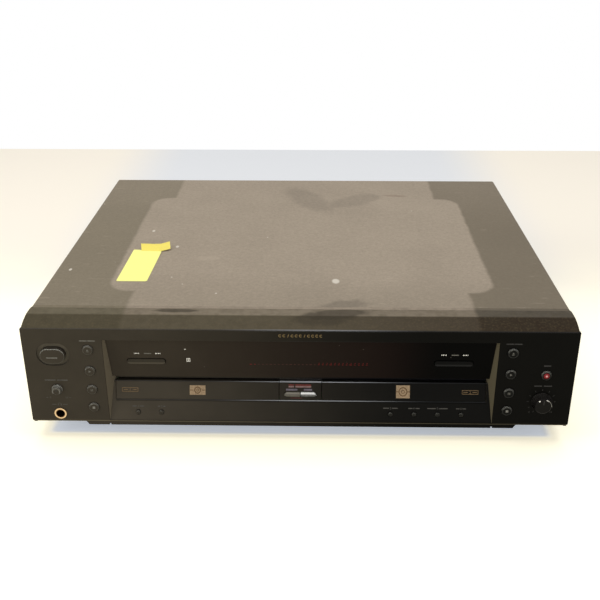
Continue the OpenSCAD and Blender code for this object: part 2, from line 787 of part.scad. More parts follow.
module chip(x, y, size) translate([x, y, deck_board_z + board_t + size.z / 2 - eps])
    cube(size, center = true);

module capacitor(x, y, size) translate([x, y, deck_board_z + board_t - eps])
    cylinder(r = size[0], h = size[1]);

module main_board() color("#2b6a45") place() {
    board(main_x0, main_x1, main_y0, main_y1);
    chip(main_x0 + processor_at.x, main_y0 + processor_at.y, processor);
    chip(main_x0 + memory_at.x, main_y0 + memory_at.y, memory);
    for (i = [0:3]) chip(main_x0 + driver_at.x + i * driver_pitch, main_y0 + driver_at.y, driver);
    for (i = [0:5])
        capacitor(main_x0 + filter_at.x + i * filter_pitch, main_y0 + filter_at.y, filter_cap);
    for (i = [0:1]) chip(main_x0 + ribbon_at.x + i * ribbon_pitch, main_y0 + ribbon_at.y, ribbon_plug);
}

module power_board() color("#3c6a38") place() {
    board(supply_x0, supply_x1, supply_y0, supply_y1);
    sink_x = supply_x1 - sink_at.x;
    sink_y = supply_y0 + sink_at.y;
    for (i = [0:2]) capacitor(supply_x0 + supply_at.x, supply_y0 + supply_at.y + i * supply_pitch, supply_cap);
    chip(sink_x, supply_y1 - mains_filter_in, mains_filter);
    chip(sink_x, sink_y, sink_wall);
    for (i = [-2:2]) chip(sink_x, sink_y + i * sink_pitch, sink_fin);
}

// Mains transformer: laminated core, coil and foot bracket

module power_transformer() color("#8b8f92") place() translate([mains_x, mains_y, 0]) difference() {
    union() {
        translate([0, 0, chassis_top + bracket.z / 2]) cube(bracket, center = true);
        translate([0, 0, chassis_top + core.z / 2]) cube(core, center = true);
        translate([0, 0, chassis_top + (core.z - coil_h) / 2]) cylinder(r = coil_l / 2, h = coil_h);
    }
    both_sides() translate([bracket_hole_x, 0, 0])
        rod_along_z(bracket_hole_r, chassis_top - 1, chassis_top + 2 * bracket.z);
}

// Phones socket: brass bush in a moulded body

module headphone_bush() color("#c9a24a") place() translate([-side_x, 0, jack_z]) difference() {
    union() {
        rod_along_y(jack_ring_r, -1, 0);
        rod_along_y(bush_r, -0.5, bush_l - 1);
    }
    rod_along_y(jack_bore_r, -2, bush_l);
}

module headphone_jack() color("#151515") place() translate([-side_x, 0, jack_z]) difference() {
    box(-jack_body, jack_body, plate_t, jack_end, chassis_top + seam_gap - jack_z, jack_body);
    rod_along_y(bush_r + fit_gap, plate_t - 1, bush_l - 1);
    rod_along_y(jack_bore_r + fit_gap, bush_l - 2, jack_end - 2);
}

// Rear jacks: line block with sleeves, and two optical sockets

module rear_jacks() color("#202124") place() {
    difference() {
        union() {
            box(line_x - block_edge, line_x + jack_pitch + block_edge, cabinet_d - sheet_t - block_d, cabinet_d - sheet_t,
                deck_board_z + board_t, line_z + jack_pitch + block_edge);
            box(coax_x - block_edge, coax_x + block_edge, cabinet_d - sheet_t - block_d, cabinet_d - sheet_t,
                deck_board_z + board_t, line_z + block_edge);
            line_jack_places() {
                rod_along_y(sleeve_r + collar_w, cabinet_d - sheet_t - 1, cabinet_d + collar_out);
                rod_along_y(sleeve_r, cabinet_d, cabinet_d + jack_reach);
            }
        }
        line_jack_places() rod_along_y(sleeve_r - 1, cabinet_d + 1, cabinet_d + jack_reach + 1);
    }
    line_jack_places() rod_along_y(1.7, cabinet_d - 2, cabinet_d + jack_reach - 1);
    difference() {
        union() {
            box(optical_x - optical_body, optical_x + optical_pitch + optical_body,
                cabinet_d - sheet_t - block_d, cabinet_d - sheet_t,
                deck_board_z + board_t, optical_z + optical_body);
            optical_places() along_y(cabinet_d - sheet_t - 1, cabinet_d + 1)
                square(2 * (optical_body - optical_rim), center = true);
        }
        optical_places() along_y(cabinet_d - optical_in, cabinet_d + 2) square(optical_s, center = true);
    }
}

// Cord gland: a ring with a flange on both sides of the rear panel

module cord_gland() color("#121212") place() translate([gland_x, 0, gland_z]) difference() {
    union() {
        rod_along_y(gland_neck_r + gland_flange, cabinet_d - sheet_t - 4, cabinet_d - sheet_t);
        rod_along_y(gland_neck_r, cabinet_d - sheet_t - 1, cabinet_d + 1);
        rod_along_y(gland_neck_r + gland_flange, cabinet_d, cabinet_d + 3.5);
    }
    rod_along_y(gland_bore_r, cabinet_d - sheet_t - 5, cabinet_d + 5);
}

// Feet: turned, with a wide hollow under the screw

module feet() color("#161616") place() foot_places() rotate_extrude() polygon([
    [foot_screw_r + fit_gap, foot_hollow], [foot_r - 6, foot_hollow], [foot_r - 6, 0], [foot_r - 3, 0],
    [foot_r - 1.5, 1.5], [foot_r, foot_h], [foot_screw_r + fit_gap, foot_h]]);

// Screws: cover, rear panel and feet

module screw(r, l) {
    rod_along_z(r, -l, eps);
    rod_along_z(2 * r - 0.2, 0, head_t - 0.4);
}

module screws() color("#3a3a3c") place() {
    cover_screw_places() translate([flange_x + sheet_t, 0, 0]) rotate([0, 90, 0]) screw(screw_r, 6);
    both_sides() translate([rear_tab_x, cabinet_d, rear_screw_z]) rotate([-90, 0, 0]) screw(screw_r, 7);
    foot_places() translate([0, 0, foot_hollow]) rotate([180, 0, 0]) screw(foot_screw_r, foot_h - 1);
}

// Loader frame: moulded tub with rails, an axle and the pivots of the traverse

module loader_frame(n) color("#26272a") deck(n) {
    difference() {
        union() {
            box(-frame_out, frame_out, frame_y0, frame_y1, frame_z0, floor_top);
            both_sides() box(frame_in, frame_out, frame_y0, frame_y1, frame_z0, bridge_z0);
            box(-frame_out, frame_out, frame_y1 - frame_t, frame_y1, frame_z0, bridge_z0);
            for (x = [-frame_in, frame_in], y = [frame_y0 + 6, frame_y1 - 6]) translate([x, y, 0])
                rod_along_z(4, chassis_top, frame_z0 + 1);
            both_sides() box(tray_half - rail_grip + rail_gap, frame_in + 1, frame_y0, frame_y1 - 1,
                rail_z0 + rail_gap, rail_z0 + rail_h - rail_gap);
            both_sides() box(boss_in, boss_out, pivot_y - boss_r, pivot_y + boss_r, frame_z0, pivot_z);
            translate([0, pivot_y, pivot_z]) both_sides() rod_along_x(boss_r, boss_in, boss_out);
            translate([gear_x, gear_y, 0]) rod_along_z(axle_r + 2, frame_z0, pulley_z0 - 0.2);
            translate([gear_x, gear_y, 0]) rod_along_z(axle_r, frame_z0, gear_z1);
        }
        box(-plate_half - 3, plate_half + 3, plate_y0 - 4, pivot_y - boss_r - 2, frame_z0 - 1, floor_top + 1);
        translate([motor_x, gear_y, 0]) rod_along_z(motor_r + 0.2, frame_z0 - 1, floor_top + 1);
        translate([0, pivot_y, pivot_z]) rod_along_x(pivot_r + run_gap, -boss_out - 1, boss_out + 1);
    }
}

// Clamp bridge: steel strap over the tray with a hole for the puck

module clamp_bridge(n) color("#a3a7aa") deck(n) translate([0, spindle_y, 0]) difference() {
    union() {
        box(-frame_out, frame_out, -bridge_half_y, bridge_half_y, bridge_z0, bridge_z0 + bridge_t);
        for (s = [-1, 1]) translate([0, s * bridge_half_y, 0])
            box(6 - frame_in, frame_in - 6, -bridge_t / 2, bridge_t / 2, bridge_z0, bridge_z0 + bridge_rib);
    }
    rod_along_z(neck_r + 0.4, bridge_z0 - 1, bridge_z0 + 10);
    both_sides() translate([44, 0, 0]) along_z(bridge_z0 - 1, bridge_z0 + bridge_t + 1) stadium(28, 14);
}

// Tray: stepped dish, slot for the pickup, grooves for the rails and a rack underneath

module rack_outline() {
    half = tooth_pitch / 4 - backlash / 4;
    slope = tan(20);
    tip = half - gear_m * slope;
    root = half + 1.25 * gear_m * slope;
    translate([rack_x + 1.25 * gear_m - eps, tray_y0]) square([rack_back, tray_y1 - tray_y0]);
    for (k = [rack_first:rack_last]) translate([rack_x, gear_y + (k + 0.5) * tooth_pitch]) polygon([
        [-gear_m, -tip], [-gear_m, tip], [1.25 * gear_m, root], [1.25 * gear_m, -root]]);
}

module tray(n) color("#2a2a2c") deck(n) {
    difference() {
        box(-tray_half, tray_half, tray_y0, tray_y1, tray_z0, tray_z1);
        translate([0, spindle_y, 0]) {
            rod_along_z(dish_r, dish_z, tray_z1 + 1);
            rod_along_z(small_dish_r, small_dish_z, tray_z1 + 1);
            rod_along_z(slot_half, tray_z0 - 1, tray_z1 + 1);
            both_sides() translate([41, -41, 0]) rod_along_z(9, small_dish_z, tray_z1 + 1);
        }
        box(-slot_half, slot_half, spindle_y, tray_y1 + 1, tray_z0 - 1, tray_z1 + 1);
        both_sides() {
            box(tray_half - rail_grip, tray_half + 1, tray_y0 - 1, tray_y1 + 1, rail_z0, rail_z0 + rail_h);
            box(slot_half + 3, tray_half - 7, spindle_y + dish_r + 4, tray_y1 - 3, small_dish_z, tray_z1 + 1);
        }
    }
    along_z(gear_z0, tray_z0 + eps) rack_outline();
}

// A slanted face with a round upper edge
module door_section() {
    lean = atan(fascia_slope);
    edge_z = door_z1 - door_edge_r;
    edge_y = fascia_y(edge_z) + door_edge_r / cos(lean);
    past = door_edge_r + 1;
    difference() {
        polygon([
            [fascia_y(door_z0), door_z0], [fascia_y(door_z1), door_z1], [tray_y0, door_z1],
            [tray_y0, door_z0]]);
        translate([edge_y, edge_z]) difference() {
            polygon([
                [0, 0], past * [-cos(lean), sin(lean)], past * [-cos(lean), 1], [0, past]]);
            circle(door_edge_r);
        }
    }
}

module tray_door(n) color("#171717") deck(n) along_x(-door_w / 2, door_w / 2) door_section();

// Loading gear with its pulley, the motor's pulley, the belt and the motor

function involute(a) = tan(a) * 180 / PI - a;

function flank_angle(r, base) = 90 / gear_teeth - backlash / 4 / pitch_r * 180 / PI
    + involute(20) - involute(acos(min(1, base / r)));

module gear_outline() {
    base = pitch_r * cos(20);
    root = pitch_r - 1.25 * gear_m;
    tip = pitch_r + gear_m;
    start = max(base, root);
    radii = [for (i = [0:4]) start + (tip - start) * i / 4];
    polygon([for (k = [0:gear_teeth - 1]) let (turn = k * 360 / gear_teeth) each concat(
        [root * [cos(turn - flank_angle(start, base)), sin(turn - flank_angle(start, base))]],
        [for (r = radii) r * [cos(turn - flank_angle(r, base)), sin(turn - flank_angle(r, base))]],
        [for (i = [4:-1:0]) let (r = radii[i], far = turn + flank_angle(r, base)) r * [cos(far), sin(far)]],
        [root * [cos(turn + flank_angle(start, base)), sin(turn + flank_angle(start, base))]])]);
}

module pulley_profile(r, bore) polygon([
    [bore, 0], [r + 1.4, 0], [r + 1.4, 0.6], [r, 0.9], [r, pulley_h - 0.9], [r + 1.4, pulley_h - 0.6],
    [r + 1.4, pulley_h], [bore, pulley_h]]);

module loading_gear(n) color("#d8d4c4") deck(n) translate([gear_x, gear_y, 0]) difference() {
    union() {
        along_z(gear_z0, gear_z1) gear_outline();
        translate([0, 0, pulley_z0]) rotate_extrude() pulley_profile(pulley_r, axle_r + run_gap);
    }
    rod_along_z(axle_r + run_gap, pulley_z0 - 1, gear_z1 + 1);
}

module motor_pulley(n) color("#c8c4b6") deck(n) translate([motor_x, gear_y, 0]) {
    translate([0, 0, pulley_z0]) rotate_extrude() pulley_profile(motor_pulley_r, 0);
    rod_along_z(1, pulley_z0 - 5, pulley_z0 + 1);
}

module belt_outline(grow) hull() {
    translate([gear_x, gear_y]) circle(pulley_r + belt_gap + grow);
    translate([motor_x, gear_y]) circle(motor_pulley_r + belt_gap + grow);
}

module loading_belts() color("#101010") for (n = [1, 2]) deck(n)
    along_z(belt_z0, belt_z0 + belt_w) difference() {
        belt_outline(belt_t);
        belt_outline(0);
    }

module loading_motors() color("#b4b6b8") for (n = [1, 2]) deck(n)
    translate([motor_x, gear_y, 0]) difference() {
        union() {
            rod_along_z(motor_r, chassis_top + 1, pulley_z0 - 0.8);
            rod_along_z(motor_r + 2.5, floor_top, floor_top + 1);
        }
        rod_along_z(1 + run_gap, pulley_z0 - shaft_bore, pulley_z0);
    }

// Traverse: plate on pivots, with the spindle motor and the pickup's guide rods

module traverse(n) color("#7d8286") deck(n) {
    difference() {
        union() {
            box(-plate_half, plate_half, plate_y0, pivot_y + 3, plate_z0, plate_z1);
            translate([0, pivot_y, pivot_z]) both_sides() rod_along_x(pivot_r, plate_half - 2, boss_out);
            translate([0, spindle_y, 0]) rod_along_z(spindle_motor_r, spindle_motor_z0, spindle_motor_z1);
            both_sides() for (y = [rod_y0, rod_y1]) box(rod_x - post_half, rod_x + post_half,
                y - post_l / 2, y + post_l / 2, plate_z1 - 0.5, rod_z + rod_r + 1.2);
        }
        box(-sled_half - 1, sled_half + 1, rod_y0 + post_l, rod_y1 - post_l, plate_z0 - 1, plate_z1 + 1);
        translate([0, spindle_y, 0])
            rod_along_z(spindle_r + run_gap, spindle_motor_z0 + 1, spindle_motor_z1 + 1);
    }
    both_sides() translate([rod_x, 0, rod_z]) rod_along_y(rod_r, rod_y0 - post_l / 2, rod_y1 + post_l / 2);
}

// Turntable: platform, hub cone and shaft

module turntable(n) color("#33363a") deck(n) translate([0, spindle_y, 0]) rotate_extrude() polygon([
    [0, spindle_motor_z0 + 2], [spindle_r, spindle_motor_z0 + 2], [spindle_r, disc_z - platform_t],
    [turntable_r, disc_z - platform_t], [turntable_r, disc_z], [hub_r, disc_z],
    [hub_r - 0.8, disc_z + hub_h - 0.6], [hub_r - 2.2, disc_z + hub_h], [0, disc_z + hub_h]]);

// Pickup sled: carriage on two rods with the lens on top

module pickup_sled(n) color("#3b4b6a") deck(n) translate([0, spindle_y + lens_y, 0]) difference() {
    union() {
        box(-sled_half, sled_half, -sled_half_y, sled_half_y, sled_z0, sled_z1);
        box(-rod_x + 3, rod_x - 3, -sled_half_y + 1, sled_half_y - 1, sled_z1 - 0.5, lens_z - 1.5);
        rod_along_z(4, sled_z1, lens_z);
    }
    both_sides() translate([rod_x, 0, rod_z]) rod_along_y(rod_r + run_gap, -2 * sled_half_y, 2 * sled_half_y);
}

// Clamp puck: hangs in the bridge by its flange and meets the hub from above

module clamp_puck(n) color("#222428") deck(n) translate([0, spindle_y, 0]) rotate_extrude() polygon([
    [0, puck_z0 + hub_h + 0.8], [hub_r + 1.2, puck_z0 + hub_h + 0.8], [hub_r + 1.2, puck_z0],
    [puck_r, puck_z0], [puck_r, bridge_z0 - 2], [neck_r, bridge_z0 - 2], [neck_r, puck_flange_z],
    [neck_r + puck_flange, puck_flange_z], [neck_r + puck_flange, puck_flange_z + puck_flange_t],
    [0, puck_flange_z + puck_flange_t]]);

// Keys and knobs

module round_key(r, out, back) turned_y() polygon([
    [0, -out], [r - 0.6, -out], [r, 0.6 - out], [r, back + key_gap], [r + lip_w, back + key_gap],
    [r + lip_w, back + key_gap + lip_t], [stem_r, back + key_gap + lip_t], [stem_r, stem_end],
    [0, stem_end]]);

module transport_key(n, i) color("#242422") place()
    translate([column_xs[n - 1], 0, key_zs[i]]) round_key(key_r, key_out, plate_t);

module record_button() color("#242422") place() translate([record_x, 0, record_z])
    round_key(record_key_r, key_out, plate_t);

module small_key(i) color("#a9a49a") place() translate([small_xs[i], 0, small_z]) {
    face = fascia_y(small_z);
    back = fascia_y(small_z + small_key_r + lip_w) + wall_t - face;
    translate([0, face, 0]) turned_y() polygon([
        [0, -0.9], [small_key_r - 0.4, -0.9], [small_key_r, -0.5], [small_key_r, back + key_gap],
        [small_key_r + lip_w, back + key_gap], [small_key_r + lip_w, back + key_gap + lip_t],
        [stem_r, back + key_gap + lip_t], [stem_r, stem_end - face], [0, stem_end - face]]);
}

// The two silver keys share one long outline with pointed ends
module sync_outline(grow) intersection() {
    translate([0, sync_arc - sync_lens_h / 2]) circle(sync_arc + grow, $fn = 200);
    translate([0, sync_lens_h / 2 - sync_arc]) circle(sync_arc + grow, $fn = 200);
    square([2 * sync_l, sync_h + 2 * grow], center = true);
}

module sync_key(i) color("#c4c4c0") place() translate([sync_x, 0, sync_z]) {
    s = i == 1 ? -1 : 1;
    face = fascia_y(sync_z);
    back = fascia_y(sync_z + sync_h / 2 + lip_w) + wall_t + key_gap;
    foot_y = fascia_y(sync_z - sync_h / 2) - sync_side;
    head_y = fascia_y(sync_z + sync_h / 2) - sync_side;
    intersection() {
        along_y(face - 2 * sync_ridge, back + lip_t) sync_outline(0);
        along_x(min(0, s) * sync_l + sync_split / 2 * s, max(0, s) * sync_l + sync_split / 2 * s) polygon([
            [foot_y, -sync_h / 2], [face - sync_ridge, 0], [head_y, sync_h / 2],
            [back + lip_t, sync_h / 2], [back + lip_t, -sync_h / 2]]);
    }
    box(s * sync_l / 4 - 4, s * sync_l / 4 + 4, back, back + lip_t, -sync_h / 2 - lip_w, sync_h / 2 + lip_w);
    translate([s * sync_l / 4, 0, 0]) rod_along_y(stem_r, back, stem_end);
}

module skip_rocker(i) color("#55534e") place() translate([rocker_xs[i - 1], 0, rocker_z]) {
    along_y(display_y(rocker_z) - rocker_out, rocker_pin_y - rocker_web) stadium(rocker_l, rocker_h);
    box(-2, 2, rocker_pin_y - rocker_web - 0.5, rocker_pin_y, 0.2 - rocker_h / 2, rocker_h / 2 - 0.2);
    for (s = [-1, 1]) translate([s * rocker_l / 3, 0, 0])
        rod_along_y(stem_r, rocker_pin_y - rocker_web - 0.5, stem_end);
    translate([0, rocker_pin_y, 0])
        rod_along_z(rocker_pin_r, -rocker_lug_z - rocker_lug_t, rocker_lug_z + rocker_lug_t);
}

module power_button() color("#262624") place() translate([-side_x, 0, power_z]) {
    intersection() {
        along_y(-power_out, plate_t + key_gap + lip_t) stadium(power_l, power_h);
        translate([0, 36 - power_out, 0]) sphere(36, $fn = 200);
    }
    along_y(plate_t + key_gap, plate_t + key_gap + lip_t) stadium(power_l + 2 * lip_w, power_h + 2 * lip_w);
    rod_along_y(stem_r, plate_t + 1, stem_end - 1.2);
}

// A turned knob that narrows to its face, with fine flutes round its grip
module knob(r, reach, shaft_r, flutes) {
    face_r = knob_taper * r;
    skirt_y = -knob_gap - flute_foot;
    lean = atan((r - face_r) / (reach + skirt_y));
    difference() {
        turned_y() polygon([
            [0, -reach], [face_r - 0.8, -reach], [face_r - 0.1, 0.6 - reach], [r, skirt_y],
            [r, -knob_gap], [0, -knob_gap]]);
        for (i = [0:flutes - 1]) rotate([0, i * 360 / flutes, 0]) translate([0, skirt_y, r + flute_r / 3])
            rotate([lean, 0, 0]) rod_along_y(flute_r, -2 * reach, 0);
    }
    rod_along_y(shaft_r, -1, board_y - 1.5);
}

module record_level_knob() color("#232322") place() translate([side_x, 0, level_z])
    knob(rec_knob_r, knob_reach, knob_shaft_r, rec_flutes);

module phone_level_knob() color("#232322") place() translate([-side_x, 0, phone_z])
    knob(phone_knob_r, phone_reach, phone_shaft_r, phone_flutes);

top_cover();
bottom_chassis();
rear_panel();
front_panel();
display_window();
display_tube();
front_board();
main_board();
power_board();
power_transformer();
headphone_jack();
headphone_bush();
rear_jacks();
cord_gland();
feet();
screws();
loading_motors();
loading_belts();
loader_frame(1);  // loader_frame_1
loader_frame(2);  // loader_frame_2
clamp_bridge(1);  // clamp_bridge_1
clamp_bridge(2);  // clamp_bridge_2
tray(1);  // tray_1
tray(2);  // tray_2
tray_door(1);  // tray_door_1
tray_door(2);  // tray_door_2
loading_gear(1);  // loading_gear_1
loading_gear(2);  // loading_gear_2
motor_pulley(1);  // motor_pulley_1
motor_pulley(2);  // motor_pulley_2
traverse(1);  // traverse_1
traverse(2);  // traverse_2
turntable(1);  // turntable_1
turntable(2);  // turntable_2
pickup_sled(1);  // pickup_sled_1
pickup_sled(2);  // pickup_sled_2
clamp_puck(1);  // clamp_puck_1
clamp_puck(2);  // clamp_puck_2
power_button();
phone_level_knob();
record_level_knob();
record_button();
transport_key(1, 0);  // deck_1_open_key
transport_key(1, 1);  // deck_1_play_key
transport_key(1, 2);  // deck_1_pause_key
transport_key(1, 3);  // deck_1_stop_key
transport_key(2, 0);  // deck_2_open_key
transport_key(2, 1);  // deck_2_play_key
transport_key(2, 2);  // deck_2_pause_key
transport_key(2, 3);  // deck_2_stop_key
skip_rocker(1);  // skip_rocker_1
skip_rocker(2);  // skip_rocker_2
sync_key(1);  // sync_key_1
sync_key(2);  // sync_key_2
small_key(0);  // small_key_1
small_key(1);  // small_key_2
small_key(2);  // small_key_3
small_key(3);  // small_key_4
small_key(4);  // small_key_5
small_key(5);  // small_key_6
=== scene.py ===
"""Dressed look of a twin-tray disc player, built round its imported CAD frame."""
import json
import logging
import math
from dataclasses import dataclass
from enum import Enum
from typing import ClassVar, Union

import bmesh
import bpy
from mathutils import Matrix, Vector


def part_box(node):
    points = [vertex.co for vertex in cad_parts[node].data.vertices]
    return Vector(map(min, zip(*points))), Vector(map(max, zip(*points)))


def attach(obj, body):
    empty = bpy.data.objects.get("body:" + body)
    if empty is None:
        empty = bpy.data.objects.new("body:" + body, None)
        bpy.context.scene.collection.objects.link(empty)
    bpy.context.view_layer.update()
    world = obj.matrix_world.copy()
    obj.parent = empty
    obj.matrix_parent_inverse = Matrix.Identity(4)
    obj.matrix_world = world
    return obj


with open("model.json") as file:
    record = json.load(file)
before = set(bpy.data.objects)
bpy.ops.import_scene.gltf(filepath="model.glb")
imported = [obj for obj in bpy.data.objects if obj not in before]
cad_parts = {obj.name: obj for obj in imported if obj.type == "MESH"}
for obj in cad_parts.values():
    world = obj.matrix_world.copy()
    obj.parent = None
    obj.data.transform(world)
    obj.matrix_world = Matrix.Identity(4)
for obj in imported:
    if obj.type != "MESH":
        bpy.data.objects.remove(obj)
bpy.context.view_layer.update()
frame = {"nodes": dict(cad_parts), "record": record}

MM = 0.001
log = logging.getLogger("disc_player")
Socket = bpy.types.NodeSocket
Value = Union[float, tuple, Socket]
Colour = tuple[float, float, float]


def paint(red: int, green: int, blue: int) -> Colour:
    """Turns a colour seen on a screen, from 0 to 255, into linear light."""
    shares = (red / 255, green / 255, blue / 255)
    return tuple(s / 12.92 if s <= 0.04045 else ((s + 0.055) / 1.055) ** 2.4 for s in shares)


def scaled(colour: Colour, gain: float) -> Colour:
    """A lighter or darker version of a colour."""
    return tuple(min(1.0, c * gain) for c in colour)


def seen_share(tree: bpy.types.NodeTree) -> Socket:
    """Tells rays that look at a surface from rays that only carry light.

    Args:
        tree: The nodes in work.

    Returns:
        One for rays from the camera, a reflection or a clear body.
    """
    path = tree.nodes.new("ShaderNodeLightPath").outputs
    seen = path["Is Camera Ray"]
    for ray in ("Is Glossy Ray", "Is Transmission Ray"):
        most = tree.nodes.new("ShaderNodeMath")
        most.operation = "MAXIMUM"
        tree.links.new(seen, most.inputs[0])
        tree.links.new(path[ray], most.inputs[1])
        seen = most.outputs[0]
    return seen


# Painted light from the left: this warm grey lightens the left part of the black front, keys, rockers and
# window, fading out across the span; scaled darker it is also the colour of the smears on the brow.
LEFT_LIGHT_AND_SMEAR_COLOUR = paint(60, 55, 47)
LEFT_LIGHT_SPAN = (-0.19, 0.1)


class ShaderGraph:
    """One procedural material, built node by node on Object coordinates."""

    def __init__(self, name: str) -> None:
        """Starts a material with a Principled shader.

        Args:
            name: Name of the material.
        """
        self.material = bpy.data.materials.new(name)
        self.material.use_nodes = True
        self.tree = self.material.node_tree
        self.tree.nodes.clear()
        self.shader = self.tree.nodes.new("ShaderNodeBsdfPrincipled")
        output = self.tree.nodes.new("ShaderNodeOutputMaterial")
        self.tree.links.new(self.shader.outputs[0], output.inputs["Surface"])
        self.place = self.tree.nodes.new("ShaderNodeTexCoord").outputs["Object"]
        self.axes = self.node("ShaderNodeSeparateXYZ", {0: self.place}).outputs
        self.facing = self.tree.nodes.new("ShaderNodeNewGeometry").outputs["Normal"]
        self.up = self.node("ShaderNodeSeparateXYZ", {0: self.facing}).outputs[2]

    def node(self, kind: str, feeds: dict, **settings: object) -> bpy.types.Node:
        """Adds a node.

        Args:
            kind: Blender's name of the node type.
            feeds: Input number or name to a value or a socket.
            settings: Properties of the node.

        Returns:
            The node.
        """
        made = self.tree.nodes.new(kind)
        for name, value in settings.items():
            setattr(made, name, value)
        for key, value in feeds.items():
            self.feed(made.inputs[key], value)
        return made

    def feed(self, socket: Socket, value: Value) -> None:
        """Links a socket, or sets its constant.

        Args:
            socket: The input to fill.
            value: A socket, a number or a colour.
        """
        if isinstance(value, bpy.types.NodeSocket):
            self.tree.links.new(value, socket)
        elif isinstance(value, tuple) and len(value) == 3 and socket.type == "RGBA":
            socket.default_value = (*value, 1.0)
        else:
            socket.default_value = value

    def set(self, **inputs: Value) -> None:
        """Fills inputs of the shader, with spaces written as underscores."""
        for name, value in inputs.items():
            self.feed(self.shader.inputs[name.replace("_", " ")], value)

    def calc(self, operation: str, first: Value, second: Value = 0.0) -> Socket:
        """One operation, by Blender's name for it, on two values."""
        return self.node("ShaderNodeMath", {0: first, 1: second}, operation=operation).outputs[0]

    def step(self, value: Value, low: float, high: float, start: float = 0.0, end: float = 1.0) -> Socket:
        """A smooth step from start to end while the value goes from low to high."""
        feeds = {0: value, 1: low, 2: high, 3: start, 4: end}
        return self.node("ShaderNodeMapRange", feeds, interpolation_type="SMOOTHSTEP").outputs[0]

    def band(self, value: Value, low: float, high: float, soft: float) -> Socket:
        """One between two limits and nought outside, with soft edges.

        Args:
            value: The value to read.
            low: Lower limit.
            high: Upper limit.
            soft: Half the width of an edge.

        Returns:
            The band as a value from 0 to 1.
        """
        rise = self.step(value, low - soft, low + soft)
        fall = self.step(value, high - soft, high + soft, 1.0, 0.0)
        return self.calc("MULTIPLY", rise, fall)

    def noise(self, scale: float, detail: float = 3.0, stretch: tuple = (1.0, 1.0, 1.0)) -> Socket:
        """Cloudy noise from 0 to 1.

        Args:
            scale: Repeats to a metre.
            detail: Number of finer layers.
            stretch: Scale of each axis.

        Returns:
            The noise.
        """
        source = self.place
        if stretch != (1.0, 1.0, 1.0):
            source = self.node("ShaderNodeMapping", {0: self.place, 3: stretch}).outputs[0]
        feeds = {"Vector": source, "Scale": scale, "Detail": detail}
        return self.node("ShaderNodeTexNoise", feeds).outputs[0]

    def specks(self, scale: float, size: float, share: float) -> Socket:
        """Scattered small dots.

        Args:
            scale: Cells to a metre.
            size: Radius of a dot as a share of its cell.
            share: Share of the cells that hold a dot.

        Returns:
            One on a dot and nought elsewhere.
        """
        cells = self.node("ShaderNodeTexVoronoi", {"Vector": self.place, "Scale": scale})
        dot = self.step(cells.outputs["Distance"], size * 0.6, size, 1.0, 0.0)
        pick = self.node("ShaderNodeSeparateColor", {0: cells.outputs["Color"]}).outputs[0]
        return self.calc("MULTIPLY", dot, self.calc("LESS_THAN", pick, share))

    def patch(self, x: float, y: float, half_x: float, half_y: float, turn: float, ragged: float) -> Socket:
        """A soft oval seen from above.

        Args:
            x: Middle of the oval.
            y: Middle of the oval.
            half_x: Half its length.
            half_y: Half its width.
            turn: Its turn in radians.
            ragged: How much noise roughens its edge.

        Returns:
            One inside, nought outside.
        """
        moved = self.node("ShaderNodeMapping", {0: self.place, 1: (-x, -y, 0.0)}).outputs[0]
        turned = self.node("ShaderNodeMapping", {0: moved, 2: (0.0, 0.0, -turn)}).outputs[0]
        sized = self.node("ShaderNodeMapping", {0: turned, 3: (1 / half_x, 1 / half_y, 0.0)}).outputs[0]
        reach = self.node("ShaderNodeVectorMath", {0: sized}, operation="LENGTH").outputs["Value"]
        rough = self.calc("MULTIPLY", self.noise(90.0, 4.0), ragged)
        return self.step(self.calc("ADD", reach, rough), 0.55 + ragged / 2, 1.0 + ragged / 2, 1.0, 0.0)

    def mix(self, share: Value, first: Value, second: Value) -> Socket:
        """A colour between two colours, by the share of the second."""
        return self.node("ShaderNodeMix", {0: share, 6: first, 7: second}, data_type="RGBA").outputs[2]

    def vary(self, share: Value, colour: Colour, low: float, high: float) -> Socket:
        """A colour whose gain goes from low to high with the share."""
        return self.mix(share, scaled(colour, low), scaled(colour, high))

    def glaze(self, ground: Value, mask: Value, share: Value, colour: Value) -> Socket:
        """A ground with a share of it hidden by a colour inside the mask."""
        return self.mix(self.calc("MULTIPLY", mask, share), ground, colour)

    def relief(self, height: Value, depth: float, edge: float = 0.0) -> None:
        """Gives the surface a fine relief, and rounds its edges if asked.

        Args:
            height: Height from 0 to 1.
            depth: Depth of the relief in metres.
            edge: Radius of the rounded edges in metres, or nought.
        """
        bump = self.node("ShaderNodeBump", {"Height": height, "Distance": depth, "Strength": 1.0})
        if edge:
            rounded = self.node("ShaderNodeBevel", {"Radius": edge}, samples=4)
            self.tree.links.new(rounded.outputs[0], bump.inputs["Normal"])
        self.set(Normal=bump.outputs[0])

    def worn_edge(self, radius: float) -> Socket:
        """Mask of a painted highlight: one on edges that look up, less on other edges and nought on flat
        ground.

        Args:
            radius: Width of the edge in metres.

        Returns:
            The mask.
        """
        rounded = self.node("ShaderNodeBevel", {"Radius": radius}, samples=4).outputs[0]
        feeds = {0: rounded, 1: self.facing}
        match = self.node("ShaderNodeVectorMath", feeds, operation="DOT_PRODUCT").outputs["Value"]
        lit = self.node("ShaderNodeSeparateXYZ", {0: rounded}).outputs[2]
        turned = self.step(match, 0.82, 0.985, 1.0, 0.0)
        return self.calc("MULTIPLY", turned, self.step(lit, 0.0, 0.6, 0.15, 1.0))


class Finish:
    """A surface that makes its own material."""

    def build(self, name: str) -> bpy.types.Material:
        """Makes the material.

        Args:
            name: Name of the material.

        Returns:
            The material.
        """
        graph = ShaderGraph(name)
        self.lay(graph)
        return graph.material

    def lay(self, graph: ShaderGraph) -> None:
        """Fills the material's nodes; each finish has its own way."""
        raise NotImplementedError


